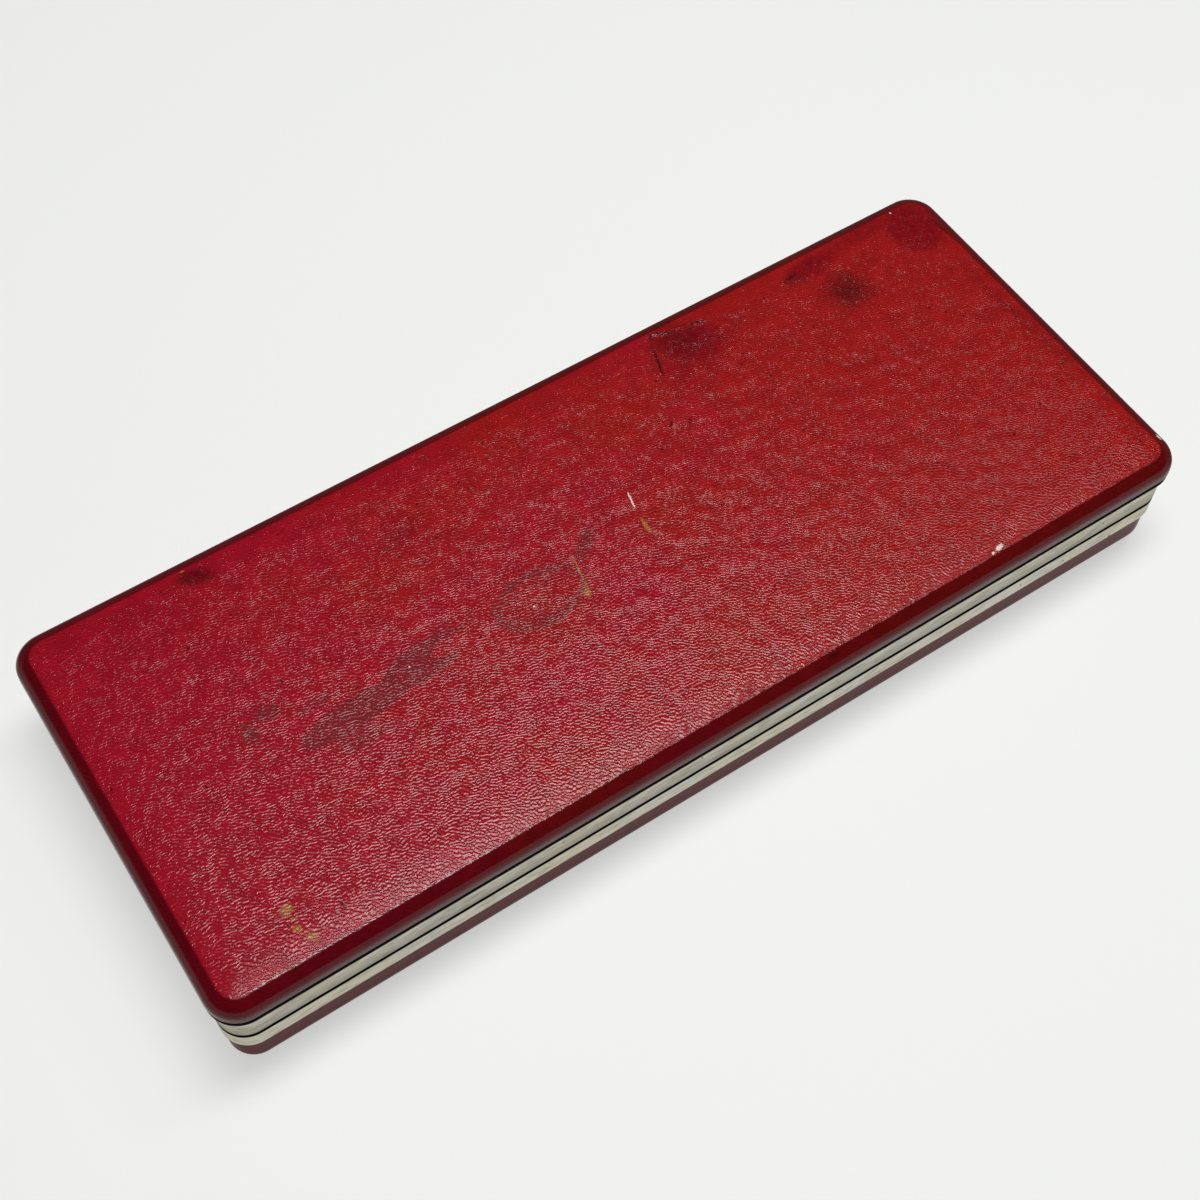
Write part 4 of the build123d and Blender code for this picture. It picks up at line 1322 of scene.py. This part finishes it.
# %% Pad and wall lining
foam_low, foam_high = span("lid_foam_pad")
lining_low, lining_high = span("lid_lining")
LINING = 0.4
VALLEY = 1.0
lining_inset = case_size.x / 2 - lining_high.x
pad_inset = lining_inset + LINING + VALLEY
pad_face = foam_low.z - LINING - 0.1
pad_back = foam_high.z
PAD_ROLL = 2.2
PUCKERS = 0.22

pad_rows = np.linspace(case_size.y / 2, pad_inset + PAD_ROLL, 30)
swell = 0.35 * (1 - ((pad_rows - pad_inset) / (case_size.y / 2 - pad_inset) - 1) ** 2)
pad_profile = joined(
    (pad_rows, pad_face + 0.5 - swell),
    arc(pad_inset + PAD_ROLL, pad_face + 0.5 + PAD_ROLL, PAD_ROLL, -80, 0, 8),
    (pad_inset, pad_back),
    (np.linspace(pad_inset + 6, case_size.y / 2, 3), np.full(3, pad_back)),
)
pad_points = carried_profile(*pad_profile, step=1.6, arc_steps=8)
px, py = pad_points[..., 0], pad_points[..., 1]
from_edge = np.minimum(case_size.x / 2 - np.abs(px), case_size.y / 2 - np.abs(py)) - pad_inset
round_run = np.arctan2(py * 2.4, px) * 40 + px * 0.35
pucker = np.sin(round_run * 1.3) + 0.6 * np.sin(round_run * 2.9 + 1.0)
face_rows = (np.arange(len(pad_points)) < len(pad_rows) + 4)[:, None]
pad_points[..., 2] += PUCKERS * pucker * np.exp(-((from_edge - 2.0) / 3.5) ** 2) * face_rows
satin_pad = build(
    "satin_pad", pad_points, grid_faces(*pad_points.shape[:2], loop_columns=True), satin
)

# %% [markdown]
# Satin over foam is never as even as a formula, so the pad is then stuffed: its mesh is cut into
# even squares, held at its back as by glue, and swollen by pressure as cloth that was cut a
# little too large. The slack gathers into soft folds along the edge. Each point's way is
# shortened smoothly, so that none goes far and none reaches the strip round the walls.

# %% Stuffing the pad
PAD_SQUARE = 2.0 * MM
PAD_PRESSURE = 3.0
SATIN_SURPLUS = 0.012
GLUED_DEPTH = 1.0
SETTLING_TICKS = 20
FARTHEST_MOVE = 2.2 * MM
SIDEWAYS_SHARE = 0.25


def mesh_points(mesh):
    """The points of a mesh as an array (points, 3)."""
    flat = np.empty(3 * len(mesh.vertices), np.float32)
    mesh.vertices.foreach_get("co", flat)
    return flat.reshape(-1, 3)


def stuffed(form):
    """A new pad from a form: even squares, swollen by pressure, and each point's way d shortened
    to d / (1 + d / farthest)."""
    squares = form.modifiers.new("even_squares", "REMESH")
    squares.mode, squares.voxel_size = "VOXEL", PAD_SQUARE
    pad = bpy.data.objects.new("stuffed_satin_pad", applied_mesh(form))
    bpy.context.scene.collection.objects.link(pad)
    start = mesh_points(pad.data)
    glued = pad.vertex_groups.new(name="glued")
    at_back = np.flatnonzero(start[:, 2] > (pad_back - GLUED_DEPTH) * MM)
    glued.add(at_back.tolist(), 1.0, "REPLACE")
    cloth = pad.modifiers.new("stuffing", "CLOTH")
    cloth.settings.vertex_group_mass = glued.name
    cloth.settings.use_pressure = True
    cloth.settings.uniform_pressure_force = PAD_PRESSURE
    cloth.settings.effector_weights.gravity = 0
    cloth.settings.shrink_min = -SATIN_SURPLUS
    cloth.point_cache.frame_end = SETTLING_TICKS
    for tick in range(1, SETTLING_TICKS + 1):
        bpy.context.scene.frame_set(tick)
    settled = applied_mesh(pad)
    bpy.context.scene.frame_set(1)
    pad.modifiers.clear()
    way = mesh_points(settled) - start
    way[:, :2] *= SIDEWAYS_SHARE
    way /= 1 + np.linalg.norm(way, axis=1, keepdims=True) / FARTHEST_MOVE
    settled.vertices.foreach_set("co", (start + way).ravel())
    settled.polygons.foreach_set("use_smooth", np.full(len(settled.polygons), True))
    settled.materials.clear()
    settled.materials.append(satin)
    pad.data = settled
    pad.vertex_groups.clear()
    finer = pad.modifiers.new("finer", "SUBSURF")
    finer.levels = finer.render_levels = 1
    print("pad", len(start), "points, farthest", round(float(np.abs(way).max()) / MM, 2), "mm")
    bpy.data.objects.remove(form)
    return pad


satin_pad = stuffed(satin_pad)
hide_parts("lid_foam_pad")
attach(satin_pad, "lid")

valley_top = pad_face + 2.4
lining_section = joined(
    (lining_inset, lining_low.z),
    (lining_inset + LINING, lining_low.z),
    (lining_inset + LINING, valley_top - LINING - 0.3),
    (lining_inset + LINING + 0.3, valley_top - LINING),
    (pad_inset + PAD_ROLL, valley_top - LINING),
    (pad_inset + PAD_ROLL, valley_top),
    (lining_inset + 0.3, valley_top),
    (lining_inset, valley_top - 0.3),
)
lining_points = carried_profile(*lining_section, step=2.0, arc_steps=10)
satin_walls = build(
    "satin_walls", lining_points,
    grid_faces(*lining_points.shape[:2], loop_rows=True, loop_columns=True), satin,
)
satin_walls.data.set_sharp_from_angle(angle=radians(50))
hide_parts("lid_lining")
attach(satin_walls, "lid")

# %% [markdown]
# ## Steel, card and what is hidden
# The hinge leaves, pins, springs and rivets have the right shape already, so they keep their
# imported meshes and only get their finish: zinc plate gone cloudy, drawn wire, blued spring
# strip. The base shell and the card behind the pad are all but hidden, and get lacquer and a
# fibrous grey.


# %% Metals and card
def make_steel(name, bright, dull, rough_low, rough_high, grain):
    """A metal whose brushed grain runs along X, clouded between two colours."""
    material, tree, shader = new_material(name)
    position = add(tree, "TexCoord").outputs["Object"]
    stretched = add(
        tree, "Mapping", None, {"Vector": position, "Scale": (0.06, 1.0, 1.0)}
    ).outputs[0]
    lines = add(
        tree, "TexNoise", None,
        {"Vector": stretched, "Scale": 1 / grain, "Detail": 3.0, "Roughness": 0.6},
    ).outputs["Fac"]
    cloud = add(
        tree, "TexNoise", None,
        {"Vector": position, "Scale": 1 / (3 * MM), "Detail": 4.0, "Roughness": 0.65},
    ).outputs["Fac"]
    cloud = add(
        tree, "MapRange", None, {"Value": cloud, "From Min": 0.35, "From Max": 0.7}
    ).outputs["Result"]
    colour = add(
        tree, "Mix", {"data_type": "RGBA"}, {0: cloud, MIX_A: bright, MIX_B: dull}
    ).outputs[MIX_RESULT]
    roughness = add(
        tree, "MapRange", None, {"Value": lines, "To Min": rough_low, "To Max": rough_high}
    ).outputs["Result"]
    bump = add(
        tree, "Bump", None, {"Strength": 0.3, "Distance": 0.01 * MM, "Height": lines}
    ).outputs["Normal"]
    feed(tree, shader, {
        "Base Color": colour, "Roughness": roughness, "Normal": bump, "Metallic": 1.0,
    })
    return material


def make_card():
    material, tree, shader = new_material("grey_binders_board")
    position = add(tree, "TexCoord").outputs["Object"]
    fibre = add(
        tree, "TexNoise", None,
        {"Vector": position, "Scale": 1 / (1.2 * MM), "Detail": 5.0, "Roughness": 0.7},
    ).outputs["Fac"]
    colour = add(
        tree, "Mix", {"data_type": "RGBA"},
        {0: fibre, MIX_A: srgb("8f8a80"), MIX_B: srgb("726c62")},
    ).outputs[MIX_RESULT]
    feed(tree, shader, {
        "Base Color": colour, "Roughness": 0.9,
    })
    return material


zinc_plate = make_steel("zinc_plated_steel", srgb("c9c9c4"), srgb("9b9a94"), 0.28, 0.5, 0.12 * MM)
drawn_wire = make_steel("drawn_steel_wire", srgb("cfcfcc"), srgb("a7a6a2"), 0.22, 0.4, 0.08 * MM)
blued_strip = make_steel("blued_spring_strip", srgb("3b4354"), srgb("5a4a3e"), 0.22, 0.4, 0.10 * MM)
nickel_rivet = make_steel("nickel_plated_rivet", srgb("d6d0c2"), srgb("aaa291"), 0.2, 0.4, 0.08 * MM)
card = make_card()  # dull grey, seen only at the pad's edge

finishes = {
    "base_hinge_leaf_left": zinc_plate, "base_hinge_leaf_right": zinc_plate,
    "lid_hinge_leaf_left": zinc_plate, "lid_hinge_leaf_right": zinc_plate,
    "hinge_pin_left": drawn_wire, "hinge_pin_right": drawn_wire,
    "snap_spring_left": blued_strip, "snap_spring_right": blued_strip,
    "base_hinge_rivets": nickel_rivet, "lid_hinge_rivets": nickel_rivet,
    "base_shell": black_lacquer, "lid_pad_board": card,
}
for node, material in finishes.items():
    mesh = frame["nodes"][node].data
    mesh.materials.clear()
    mesh.materials.append(material)
